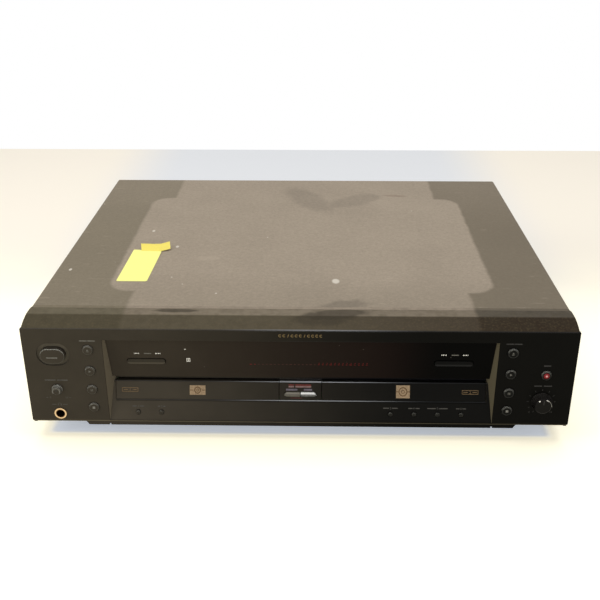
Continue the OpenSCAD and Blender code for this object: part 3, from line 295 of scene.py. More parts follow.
@dataclass(frozen=True)
class MouldedFinish(Finish):
    """Moulded plastic with a fine grain and rounded edges, its upward edges lightened by a painted highlight.
    """

    colour: Colour
    roughness: float
    grain: float = 1400.0
    depth: float = 0.00002
    edge: float = 0.0002
    edge_gain: float = 1.5
    gloss: float = 0.35
    haze: float = 0.0
    under: float = 1.0
    split: float = 0.0

    def lay(self, graph: ShaderGraph) -> None:
        """Fills the material's nodes.

        Args:
            graph: The material in work.
        """
        cloud = graph.noise(45.0, 4.0)
        ground = graph.vary(cloud, self.colour, 0.82, 1.18)
        # Painted light: where asked, the left side is lightened toward a warm grey, as if lit from the left.
        if self.haze:
            ground = graph.mix(graph.step(graph.axes[0], *LEFT_LIGHT_SPAN, self.haze, 0.0), ground, LEFT_LIGHT_AND_SMEAR_COLOUR)
        # Below the split height the colour is scaled by the under gain: painted shade on the lower facet of
        # the silver keys, a lighter lower band on the rockers.
        if self.split:
            low = graph.step(graph.axes[2], self.split - 0.0001, self.split + 0.0001, 1.0, 0.0)
            ground = graph.mix(low, ground, scaled(self.colour, self.under))
        # Painted highlight: edges, most of all those that look up, are lightened by the gain.
        painted_rim_highlight = graph.worn_edge(self.edge * 2)
        graph.set(Base_Color=graph.mix(painted_rim_highlight, ground, scaled(self.colour, self.edge_gain)))
        rough = graph.step(graph.noise(160.0), 0.3, 0.7, self.roughness - 0.06, self.roughness + 0.06)
        graph.set(Roughness=rough, Specular_IOR_Level=self.gloss)
        graph.relief(graph.noise(self.grain, 2.0), self.depth, self.edge)


@dataclass(frozen=True)
class DustFilm:
    """Plan of the dust left on the cover and on the brow, in metres."""

    middle_x: float = 0.5 * MM
    arm_half: float = 137.6 * MM
    wing_half: float = 160.2 * MM
    wing_low: float = -121.8 * MM
    wing_high: float = 117.6 * MM
    wing_corner: float = 18.0 * MM
    soft: float = 2.2 * MM
    rag: float = 3.0 * MM
    rag_scale: float = 70.0

    def ragged(self, graph: ShaderGraph, reach: Socket) -> Socket:
        """Adds an uneven share to a distance."""
        return graph.calc("ADD", reach, graph.calc("MULTIPLY", graph.noise(self.rag_scale, 2.0), self.rag))

    def arm(self, graph: ShaderGraph) -> Socket:
        """The straight band that runs from front to back.

        Args:
            graph: The material in work.

        Returns:
            One inside the band.
        """
        aside = graph.calc("ABSOLUTE", graph.calc("SUBTRACT", graph.axes[0], self.middle_x))
        edge = self.ragged(graph, aside)
        return graph.step(edge, self.arm_half, self.arm_half + 2 * self.soft, 1.0, 0.0)

    def wings(self, graph: ShaderGraph) -> Socket:
        """The wider patch with round corners in the middle of the cover.

        Args:
            graph: The material in work.

        Returns:
            One inside the patch.
        """
        middle_y = (self.wing_low + self.wing_high) / 2
        half_y = (self.wing_high - self.wing_low) / 2
        centred = graph.node("ShaderNodeMapping", {0: graph.place, 1: (-self.middle_x, -middle_y, 0.0)})
        aside = graph.node("ShaderNodeVectorMath", {0: centred.outputs[0]}, operation="ABSOLUTE")
        inner = (self.wing_half - self.wing_corner, half_y - self.wing_corner, 1.0)
        past = graph.node("ShaderNodeVectorMath", {0: aside.outputs[0], 1: inner}, operation="SUBTRACT")
        kept = graph.node("ShaderNodeVectorMath", {0: past.outputs[0], 1: (0.0, 0.0, 0.0)},
                          operation="MAXIMUM")
        reach = graph.node("ShaderNodeVectorMath", {0: kept.outputs[0]}, operation="LENGTH").outputs["Value"]
        edge = self.ragged(graph, reach)
        return graph.step(edge, self.wing_corner, self.wing_corner + 2 * self.soft, 1.0, 0.0)


@dataclass(frozen=True)
class DustyCoverFinish(Finish):
    """Textured dark paint under a layer of dust, with wiped and scuffed places."""

    bare: Colour = paint(52, 48, 42)
    thin_left: Colour = paint(128, 118, 100)
    thin_right: Colour = paint(117, 107, 91)
    thick: Colour = paint(161, 148, 131)
    rust: Colour = paint(104, 76, 62)
    lint: Colour = paint(214, 206, 192)
    film: DustFilm = DustFilm()
    side_span: tuple = (-0.2, 0.2)
    rear_span: tuple = (0.02, 0.16)
    front_span: tuple = (-0.15, -0.08)
    front_share: float = 0.72
    mottle_share: float = 0.2
    grain_share: float = 0.16
    hair_share: float = 0.14
    stain_share: float = 0.3
    scuff_share: float = 0.2
    crumb_share: float = 0.8
    lint_share: float = 0.7
    wipe_depth: float = 0.19
    wipes: tuple = ((0.004, 0.116, 0.056, 0.021, -1.1, 0.5), (0.053, 0.112, 0.042, 0.019, 0.62, 0.5),
                    (0.036, -0.147, 0.026, 0.012, 0.3, 0.9))
    front_wipe: float = 1.6
    stain: tuple = (0.098, 0.129, 0.015, 0.004, -0.1, 0.4)
    scuff: tuple = (-0.085, -0.051, 0.013, 0.007, 0.1, 0.8)
    lip_y: float = -150.9 * MM
    crumbs: tuple = ((0.0297, -0.1001, 0.004, 0.006), (-0.2017, -0.0785, 0.0016, 0.003),
                     (-0.145, 0.018, 0.0018, 0.003), (-0.116, -0.023, 0.0018, 0.003))

    def wiped(self, graph: ShaderGraph) -> Socket:
        """The places where something has brushed the dust away.

        Args:
            graph: The material in work.

        Returns:
            One where the dust is gone.
        """
        left, right, front = (graph.patch(*oval) for oval in self.wipes)
        both = graph.calc("MAXIMUM", left, right)
        return graph.calc("MAXIMUM", both, graph.calc("MULTIPLY", front, self.front_wipe))

    def lay(self, graph: ShaderGraph) -> None:
        """Fills the material's nodes.

        Args:
            graph: The material in work.
        """
        film = graph.calc("MAXIMUM", self.film.arm(graph), self.film.wings(graph))
        thin = graph.mix(graph.step(graph.axes[0], *self.side_span), self.thin_left, self.thin_right)
        thin = graph.mix(graph.step(graph.axes[1], *self.rear_span), thin, graph.mix(0.2, thin, self.thick))
        worn = graph.step(graph.axes[1], *self.front_span, self.front_share, 1.0)
        dust = graph.glaze(thin, film, worn, self.thick)
        cloud = graph.calc("ADD", graph.noise(16.0, 5.0), graph.noise(260.0, 3.0))
        mottle = graph.step(cloud, 0.6, 1.4)
        dust = graph.glaze(dust, mottle, self.mottle_share, scaled(self.thin_right, 0.62))
        grain = graph.step(graph.noise(620.0, 2.0), 0.3, 0.7)
        dust = graph.glaze(dust, grain, self.grain_share, scaled(self.thin_right, 0.5))
        hairs = graph.step(graph.noise(60.0, 6.0, (1.0, 3.5, 1.0)), 0.62, 0.72)
        dust = graph.glaze(dust, hairs, self.hair_share, scaled(self.thick, 1.35))
        dust = graph.glaze(dust, self.wiped(graph), self.wipe_depth, self.bare)
        dust = graph.glaze(dust, graph.patch(*self.stain), self.stain_share, self.rust)
        dust = graph.glaze(dust, graph.patch(*self.scuff), self.scuff_share, scaled(self.thick, 1.3))
        for x, y, half_x, half_y in self.crumbs:
            crumb = graph.patch(x, y, half_x, half_y, 0.0, 0.2)
            dust = graph.glaze(dust, crumb, self.crumb_share, self.lint)
        lint = graph.calc("MAXIMUM", graph.specks(28.0, 0.045, 0.16), graph.specks(90.0, 0.09, 0.05))
        dust = graph.glaze(dust, lint, self.lint_share, self.lint)
        lip = graph.step(graph.axes[1], self.lip_y, self.lip_y + 0.0005, 1.0, 0.0)
        lying = graph.calc("MAXIMUM", graph.step(graph.up, 0.2, 0.95), lip)
        graph.set(Base_Color=graph.mix(lying, graph.mix(mottle, self.bare, scaled(self.bare, 1.3)), dust))
        graph.set(Roughness=graph.step(lying, 0.0, 1.0, 0.5, 0.78), Specular_IOR_Level=0.2)
        graph.relief(graph.noise(1100.0, 3.0), 0.00006, 0.0004)


@dataclass(frozen=True)
class DustyMouldingFinish(Finish):
    """Satin black moulding of the front, dusty on its brow, with painted light at its left, on its recess
    walls, lower lip, groove and key dish, and painted highlights along its edges.
    """

    colour: Colour = paint(11, 11, 10)
    flank_left: Colour = paint(104, 96, 82)
    flank_right: Colour = paint(92, 86, 70)
    ledge: Colour = paint(166, 169, 175)
    chin: Colour = paint(98, 91, 75)
    brow_left: Colour = paint(75, 69, 55)
    brow_right: Colour = paint(48, 40, 32)
    land_left: Colour = paint(104, 97, 81)
    land_right: Colour = paint(84, 78, 69)
    film_dust: Colour = paint(131, 120, 105)
    speckle: Colour = paint(118, 103, 76)
    brow_z: float = 98.9 * MM
    land_y: float = -165.5 * MM
    recess: tuple = (-153.0 * MM, 155.0 * MM)
    plate_y: float = -183.1 * MM
    chin_z: float = 17.2 * MM
    groove_left: Colour = paint(54, 50, 43)
    groove_right: Colour = paint(19, 19, 21)
    dish: Colour = paint(74, 69, 59)
    groove: tuple = (47.2 * MM, 52.6 * MM)
    groove_y: float = -168.3 * MM
    strip_edge: tuple = (32.3 * MM, 33.2 * MM)
    door_edge: tuple = (46.5 * MM, 47.5 * MM)
    dish_x: tuple = (-206.0 * MM, -177.0 * MM)
    dish_z: tuple = (66.0 * MM, 88.0 * MM)
    dish_lit: tuple = (79.0 * MM, 84.0 * MM)
    dish_gain: float = 1.4
    dish_share: float = 0.8
    dish_soft: float = 0.5 * MM
    window_z: tuple = (60.0 * MM, 61.0 * MM)
    shine_x: tuple = (-30.0 * MM, 60.0 * MM)
    shine_soft: float = 60.0 * MM
    flank_span: tuple = (-0.05, 0.05)
    brow_span: tuple = (-0.08, 0.2)
    haze_share: tuple = (0.95, 0.02)
    lean_gain: float = 1.4
    film_share: tuple = (0.1, 0.75)
    mottle_share: float = 0.3
    speckle_share: float = 0.15
    worn_share: float = 0.62
    low_share: float = 0.7
    brow_soft: float = 0.6 * MM
    crisp: float = 0.4 * MM
    fine: float = 0.1 * MM
    scuff: tuple = (-0.098, -0.1585, 0.022, 0.004, 0.0, 0.6)
    smear: tuple = (0.030, -0.163, 0.036, 0.011, 0.2, 0.7)
    low_smear: tuple = (0.016, -0.171, 0.026, 0.009, 0.0, 0.6)
    film: DustFilm = DustFilm()

    def front(self, graph: ShaderGraph) -> Socket:
        """Colour of the faces that look to the front.

        Args:
            graph: The material in work.

        Returns:
            The colour.
        """
        cloud = graph.noise(38.0, 4.0)
        # Painted light: the left is lightened toward a warm grey, more on faces that lean up, as if lit from
        # the left and from above.
        side = graph.step(graph.axes[0], *LEFT_LIGHT_SPAN, *self.haze_share)
        side = graph.calc("MULTIPLY", side, graph.step(cloud, 0.2, 0.8, 0.88, 1.08))
        leaning = graph.band(graph.up, 0.25, 0.45, 0.05)
        haze = graph.mix(leaning, LEFT_LIGHT_AND_SMEAR_COLOUR, scaled(LEFT_LIGHT_AND_SMEAR_COLOUR, self.lean_gain))
        ground = graph.mix(side, graph.vary(cloud, self.colour, 0.8, 1.2), haze)
        # Painted light: the sideways walls of the recess are lightened as if lit from the side.
        inside = graph.band(graph.axes[0], *self.recess, 0.0002)
        deep = graph.step(graph.axes[1], self.plate_y, self.plate_y + self.crisp)
        walls = graph.calc("MULTIPLY", self.steep(graph), graph.calc("MULTIPLY", inside, deep))
        across = graph.step(graph.axes[0], *self.flank_span)
        ground = graph.mix(walls, ground, graph.mix(across, self.flank_left, self.flank_right))
        # Painted reflection: faces that look down along the lower lip are lightened, more at the left, as if
        # they mirrored the floor.
        low = graph.step(graph.axes[2], self.chin_z, self.chin_z + self.crisp, 1.0, 0.0)
        under = graph.calc("MULTIPLY", low, graph.band(graph.up, -0.8, -0.2, 0.12))
        under = graph.calc("MULTIPLY", under, graph.step(graph.axes[0], -0.2, 0.2, 0.9, 0.4))
        ground = graph.mix(under, ground, self.chin)
        # Painted light: the shaded back of the groove is lightened, more at the left.
        ground = graph.mix(self.hollow(graph), ground, graph.mix(across, self.groove_left, self.groove_right))
        # Painted light: the shaded dish round the power key is lightened, most on its upper part.
        lit = graph.step(graph.axes[2], *self.dish_lit)
        dish = graph.mix(lit, self.dish, scaled(self.dish, self.dish_gain))
        ground = graph.mix(self.basin(graph), ground, dish)
        # Painted highlight: a bluish-white line along the edges of the strip, the doors and the upper front,
        # brightest in the middle.
        middle = graph.band(graph.axes[0], *self.shine_x, self.shine_soft)
        painted_rim_highlight = graph.calc("MULTIPLY", graph.worn_edge(0.0009), 0.35)
        edges = graph.calc("MAXIMUM", painted_rim_highlight, graph.band(graph.up, 0.6, 0.93, 0.04))
        edges = graph.calc("MULTIPLY", edges, self.ledges(graph))
        shine = graph.calc("MULTIPLY", edges, graph.step(middle, 0.0, 1.0, 0.05, 0.9))
        return graph.mix(shine, ground, self.ledge)

    def hollow(self, graph: ShaderGraph) -> Socket:
        """One on the back of the groove under the window, which painted light lightens."""
        back = graph.step(graph.axes[1], self.groove_y, self.groove_y + 0.0003)
        return graph.calc("MULTIPLY", back, graph.band(graph.axes[2], *self.groove, self.fine))

    def basin(self, graph: ShaderGraph) -> Socket:
        """Painted light on the walls and floor of the dish round the power key.

        Args:
            graph: The material in work.

        Returns:
            How much of the dish's colour shows, nought outside.
        """
        deep = graph.step(graph.axes[1], self.plate_y, self.plate_y + self.crisp, 0.0, self.dish_share)
        across = graph.band(graph.axes[0], *self.dish_x, self.dish_soft)
        around = graph.calc("MULTIPLY", across, graph.band(graph.axes[2], *self.dish_z, self.dish_soft))
        return graph.calc("MULTIPLY", deep, around)

    def ledges(self, graph: ShaderGraph) -> Socket:
        """The heights of the front at which an edge may catch the light.

        Args:
            graph: The material in work.

        Returns:
            One at those heights.
        """
        strip = graph.band(graph.axes[2], *self.strip_edge, self.fine)
        door = graph.band(graph.axes[2], *self.door_edge, self.fine)
        high = graph.step(graph.axes[2], *self.window_z)
        return graph.calc("MAXIMUM", high, graph.calc("MAXIMUM", strip, door))

    def steep(self, graph: ShaderGraph) -> Socket:
        """One on faces that look sideways."""
        sideways = graph.node("ShaderNodeSeparateXYZ", {0: graph.facing}).outputs[0]
        return graph.step(graph.calc("ABSOLUTE", sideways), 0.55, 0.8)

    def top(self, graph: ShaderGraph) -> Socket:
        """Colour of the dust that lies on the brow and the land behind it.

        Args:
            graph: The material in work.

        Returns:
            The colour.
        """
        across = graph.step(graph.axes[0], *self.brow_span)
        land = graph.step(graph.axes[1], self.land_y - 0.002, self.land_y + 0.001)
        brow = graph.mix(across, self.brow_left, self.brow_right)
        dust = graph.mix(land, brow, graph.mix(across, self.land_left, self.land_right))
        film = graph.calc("MULTIPLY", self.film.arm(graph), graph.step(land, 0.0, 1.0, *self.film_share))
        dust = graph.mix(film, dust, self.film_dust)
        mottle = graph.step(graph.noise(150.0, 5.0), 0.35, 0.75)
        dust = graph.glaze(dust, mottle, self.mottle_share, scaled(self.brow_left, 0.6))
        speckle = graph.step(graph.noise(620.0, 3.0), 0.45, 0.75)
        dust = graph.glaze(dust, speckle, self.speckle_share, self.speckle)
        scuff = graph.patch(*self.scuff)
        smear = graph.patch(*self.smear)
        low_smear = graph.patch(*self.low_smear)
        smear = graph.calc("MAXIMUM", smear, graph.calc("MULTIPLY", low_smear, self.low_share))
        worn = graph.calc("MAXIMUM", scuff, smear)
        return graph.glaze(dust, worn, self.worn_share, scaled(LEFT_LIGHT_AND_SMEAR_COLOUR, 0.8))

    def lay(self, graph: ShaderGraph) -> None:
        """Fills the material's nodes.

        Args:
            graph: The material in work.
        """
        above = graph.step(graph.axes[2], self.brow_z, self.brow_z + self.brow_soft)
        lying = graph.calc("MULTIPLY", above, graph.step(graph.up, 0.5, 0.85))
        graph.set(Base_Color=graph.mix(lying, self.front(graph), self.top(graph)))
        graph.set(Roughness=graph.step(lying, 0.0, 1.0, 0.4, 0.75), Specular_IOR_Level=0.02)
        graph.relief(graph.noise(1500.0, 2.0), 0.00003, 0.0004)


@dataclass(frozen=True)
class SeamDustFinish(Finish):
    """Loose dust along the seam, thicker where the film crosses it."""

    left: Colour = paint(118, 109, 92)
    right: Colour = paint(100, 92, 80)
    thick: Colour = paint(142, 130, 115)
    film: DustFilm = DustFilm()

    def lay(self, graph: ShaderGraph) -> None:
        """Fills the material's nodes.

        Args:
            graph: The material in work.
        """
        thin = graph.mix(graph.step(graph.axes[0], -0.2, 0.2), self.left, self.right)
        dust = graph.mix(self.film.arm(graph), thin, self.thick)
        mottle = graph.step(graph.noise(180.0, 4.0), 0.35, 0.75, 0.0, 0.25)
        graph.set(Base_Color=graph.mix(mottle, dust, scaled(self.right, 0.6)))
        graph.set(Roughness=0.85, Specular_IOR_Level=0.1)
        graph.relief(graph.noise(1100.0, 3.0), 0.00002)


@dataclass(frozen=True)
class SmokedFinish(Finish):
    """Smoked glossy window with painted light at its left, a faint red field and a few dust specks."""

    colour: Colour = paint(5, 5, 5)
    haze: Colour = paint(60, 54, 46)
    field: Colour = paint(27, 18, 16)
    fleck: Colour = paint(110, 104, 96)
    roughness: float = 0.12
    field_half: float = 0.085
    field_share: float = 0.7
    fleck_share: float = 0.4
    haze_share: float = 0.95

    def lay(self, graph: ShaderGraph) -> None:
        """Fills the material's nodes.

        Args:
            graph: The material in work.
        """
        cloud = graph.noise(30.0, 4.0)
        # Painted light: the left of the window is lightened toward a warm grey, as if lit from the left.
        side = graph.step(graph.axes[0], *LEFT_LIGHT_SPAN, self.haze_share, 0.0)
        side = graph.calc("MULTIPLY", side, graph.step(cloud, 0.1, 0.9, 0.8, 1.05))
        middle = graph.band(graph.axes[0], -self.field_half, self.field_half, 0.03)
        glass = graph.glaze(self.colour, middle, self.field_share, self.field)
        ground = graph.mix(side, glass, self.haze)
        specks = graph.specks(160.0, 0.07, 0.06)
        graph.set(Base_Color=graph.glaze(ground, specks, self.fleck_share, self.fleck))
        smear = graph.noise(70.0, 4.0, (1.0, 1.0, 0.3))
        graph.set(Roughness=graph.step(smear, 0.3, 0.8, self.roughness, self.roughness + 0.12))
        graph.set(Specular_IOR_Level=0.015)
        graph.relief(graph.noise(12.0, 1.0), 0.00004, 0.0003)


@dataclass(frozen=True)
class MetalFinish(Finish):
    """Plated or turned metal with a crystalline mottle and fine drawing lines."""

    colour: Colour
    roughness: float
    crystal: float = 130.0
    lines: tuple = (1.0, 14.0, 1.0)

    def lay(self, graph: ShaderGraph) -> None:
        """Fills the material's nodes.

        Args:
            graph: The material in work.
        """
        cells = graph.node("ShaderNodeTexVoronoi", {"Vector": graph.place, "Scale": self.crystal})
        flake = graph.node("ShaderNodeSeparateColor", {0: cells.outputs["Color"]}).outputs[0]
        drawn = graph.noise(240.0, 3.0, self.lines)
        share = graph.calc("MULTIPLY", graph.calc("ADD", flake, drawn), 0.5)
        graph.set(Base_Color=graph.vary(share, self.colour, 0.78, 1.12), Metallic=1.0)
        graph.set(Roughness=graph.step(share, 0.2, 0.8, self.roughness - 0.07, self.roughness + 0.1))
        graph.relief(drawn, 0.00001, 0.0002)


@dataclass(frozen=True)
class BushFinish(Finish):
    """Turned brass bush, its bore darkened by painted shade."""

    colour: Colour = paint(208, 180, 144)
    tarnish: Colour = paint(62, 42, 26)
    middle: tuple = (-191.5 * MM, 0.0, 23.6 * MM)
    bore_r: float = 3.7 * MM
    roughness: float = 0.34

    def lay(self, graph: ShaderGraph) -> None:
        """Fills the material's nodes.

        Args:
            graph: The material in work.
        """
        flat = graph.node("ShaderNodeMapping", {0: graph.place, 3: (1.0, 0.0, 1.0)}).outputs[0]
        feeds = {0: flat, 1: self.middle}
        reach = graph.node("ShaderNodeVectorMath", feeds, operation="DISTANCE").outputs["Value"]
        # Painted shade: inside the bore the brass is darkened and duller.
        inner = graph.step(reach, self.bore_r - 0.0002, self.bore_r + 0.0002, 1.0, 0.0)
        turned = graph.noise(240.0, 3.0, (1.0, 30.0, 1.0))
        bright = graph.vary(turned, self.colour, 0.8, 1.12)
        graph.set(Base_Color=graph.mix(inner, bright, self.tarnish), Metallic=1.0)
        graph.set(Roughness=graph.step(inner, 0.0, 1.0, self.roughness, 0.5))
        graph.relief(turned, 0.00001, 0.0002)


@dataclass(frozen=True)
class BoardFinish(Finish):
    """Lacquered circuit board with paler copper tracks and tinned joints."""

    lacquer: Colour
    track: Colour
    solder: Colour = paint(176, 178, 176)

    def lay(self, graph: ShaderGraph) -> None:
        """Fills the material's nodes.

        Args:
            graph: The material in work.
        """
        cells = graph.node("ShaderNodeTexVoronoi", {"Vector": graph.place, "Scale": 210.0},
                           distance="CHEBYCHEV", feature="F1")
        tracks = graph.band(cells.outputs["Distance"], 0.3, 0.42, 0.03)
        ground = graph.mix(tracks, self.lacquer, self.track)
        joints = graph.specks(330.0, 0.22, 0.3)
        graph.set(Base_Color=graph.mix(joints, ground, self.solder))
        graph.set(Metallic=graph.calc("MULTIPLY", joints, 0.8))
        graph.set(Roughness=graph.step(joints, 0.0, 1.0, 0.4, 0.3))
        graph.relief(graph.calc("MAXIMUM", tracks, joints), 0.00008)


@dataclass(frozen=True)
class CoreFinish(Finish):
    """Varnished steel laminations with a wound coil, banded by height."""

    steel: Colour = paint(96, 98, 100)
    varnish: Colour = paint(60, 50, 38)
    laminations: float = 1600.0

    def lay(self, graph: ShaderGraph) -> None:
        """Fills the material's nodes.

        Args:
            graph: The material in work.
        """
        wave = graph.calc("SINE", graph.calc("MULTIPLY", graph.axes[1], self.laminations * math.tau))
        seams = graph.step(wave, -0.2, 0.6)
        ground = graph.mix(seams, scaled(self.varnish, 0.7), self.steel)
        graph.set(Base_Color=graph.mix(graph.noise(80.0, 4.0), ground, self.varnish))
        graph.set(Metallic=0.4, Roughness=graph.step(graph.noise(200.0), 0.2, 0.8, 0.35, 0.6))
        graph.relief(seams, 0.00004, 0.0003)


@dataclass(frozen=True)
class JackFinish(Finish):
    """Black jack block whose sleeves behind the rear panel are nickel."""

    colour: Colour = paint(36, 36, 38)
    nickel: Colour = paint(188, 184, 174)
    panel_back: float = 183.0 * MM
    optical_x: float = 118.0 * MM

    def lay(self, graph: ShaderGraph) -> None:
        """Fills the material's nodes.

        Args:
            graph: The material in work.
        """
        outside = graph.calc("GREATER_THAN", graph.axes[1], self.panel_back)
        line_side = graph.calc("LESS_THAN", graph.axes[0], self.optical_x)
        metal = graph.calc("MULTIPLY", outside, line_side)
        cloud = graph.noise(90.0, 3.0)
        plastic = graph.vary(cloud, self.colour, 0.8, 1.2)
        bright = graph.vary(cloud, self.nickel, 0.85, 1.1)
        graph.set(Base_Color=graph.mix(metal, plastic, bright), Metallic=metal)
        graph.set(Roughness=graph.step(metal, 0.0, 1.0, 0.5, 0.24), Specular_IOR_Level=0.4)
        graph.relief(graph.noise(1300.0, 2.0), 0.00002, 0.0002)


@dataclass(frozen=True)
class InkFinish(Finish):
    """Screen-printed ink with slightly uneven cover."""

    colour: Colour
    roughness: float = 0.5

    def lay(self, graph: ShaderGraph) -> None:
        """Fills the material's nodes.

        Args:
            graph: The material in work.
        """
        thin = graph.step(graph.noise(900.0, 3.0), 0.3, 0.75)
        graph.set(Base_Color=graph.vary(thin, self.colour, 1.1, 0.72))
        graph.set(Roughness=self.roughness, Specular_IOR_Level=0.08)
        graph.relief(graph.noise(2400.0, 2.0), 0.00001)


@dataclass(frozen=True)
class LensFinish(Finish):
    """Red plastic lens with a paler heart."""

    colour: Colour = paint(112, 14, 20)
    heart: Colour = paint(206, 150, 150)
    middle: tuple = (0.0, 0.0, 0.0)
    heart_r: float = 1.0 * MM

    def lay(self, graph: ShaderGraph) -> None:
        """Fills the material's nodes.

        Args:
            graph: The material in work.
        """
        feeds = {0: graph.place, 1: self.middle}
        reach = graph.node("ShaderNodeVectorMath", feeds, operation="DISTANCE").outputs["Value"]
        glow = graph.step(reach, 0.4 * self.heart_r, 1.25 * self.heart_r, 1.0, 0.0)
        ground = graph.vary(graph.noise(700.0, 2.0), self.colour, 0.8, 1.2)
        graph.set(Base_Color=graph.mix(glow, ground, self.heart), Roughness=0.4, Specular_IOR_Level=0.1)
        graph.set(Coat_Weight=0.1, Coat_Roughness=0.1)
        graph.relief(graph.noise(500.0, 2.0), 0.000005)


@dataclass(frozen=True)
class PaperFinish(Finish):
    """Bright paper with soft fibres."""

    colour: Colour

    def lay(self, graph: ShaderGraph) -> None:
        """Fills the material's nodes.

        Args:
            graph: The material in work.
        """
        fibre = graph.noise(700.0, 5.0, (1.0, 0.35, 1.0))
        cloud = graph.noise(120.0, 3.0)
        ground = graph.vary(fibre, self.colour, 0.93, 1.04)
        graph.set(Base_Color=graph.glaze(ground, cloud, 0.1, scaled(self.colour, 0.8)))
        graph.set(Roughness=0.75, Specular_IOR_Level=0.2)
        graph.relief(fibre, 0.00003)


@dataclass(frozen=True)
class FloorFinish(Finish):
    """Pale table top, warm in front and paler behind, with a painted cool shadow just under the player's
    front.
    """

    front: Colour = paint(255, 249, 226)
    side: Colour = paint(250, 242, 228)
    back: Colour = paint(236, 238, 241)
    shade: Colour = paint(226, 232, 246)
    warm_glow: Colour = (1.0, 0.94, 0.76)
    cool_glow: Colour = (0.87, 0.93, 1.0)
    glow_front: float = 0.47
    glow_side: tuple = (0.34, 0.08)
    glow_shade: float = 0.37
    side_span: tuple = (0.2, 0.34)
    shade_half: float = 0.204
    shade_soft: float = 0.005
    shade_y: tuple = (-0.1755, 0.0)
    blend_from: float = -0.1
    blend_to: float = 0.3

    def lay(self, graph: ShaderGraph) -> None:
        """Fills the material's nodes.

        Args:
            graph: The material in work.
        """
        depth = graph.step(graph.axes[1], self.blend_from, self.blend_to)
        aside = graph.calc("ABSOLUTE", graph.axes[0])
        outer = graph.step(aside, *self.side_span)
        # Painted shadow: a cool, dimmer band on the floor just under the front of the player, tinted and
        # given a weaker, bluer glow.
        near = graph.band(graph.axes[0], -self.shade_half, self.shade_half, self.shade_soft)
        under = graph.calc("MULTIPLY", near, graph.band(graph.axes[1], *self.shade_y, 0.003))
        tint = graph.mix(depth, self.front, graph.mix(outer, self.back, self.side))
        tint = graph.mix(under, tint, self.shade)
        graph.set(Base_Color=graph.glaze(tint, graph.noise(6.0), 0.05, self.back))
        graph.set(Roughness=0.8, Specular_IOR_Level=0.1)
        graph.set(Emission_Color=graph.mix(under, self.warm_glow, self.cool_glow))
        pale = graph.step(depth, 0.0, 1.0, self.glow_front, 0.0)
        flank = graph.calc("MULTIPLY", outer, graph.step(depth, 0.0, 1.0, *self.glow_side))
        pale = graph.calc("MAXIMUM", pale, flank)
        pale = graph.calc("MULTIPLY", pale, graph.step(under, 0.0, 1.0, 1.0, 0.0))
        pale = graph.calc("ADD", pale, graph.calc("MULTIPLY", under, self.glow_shade))
        graph.set(Emission_Strength=graph.calc("MULTIPLY", seen_share(graph.tree), pale))


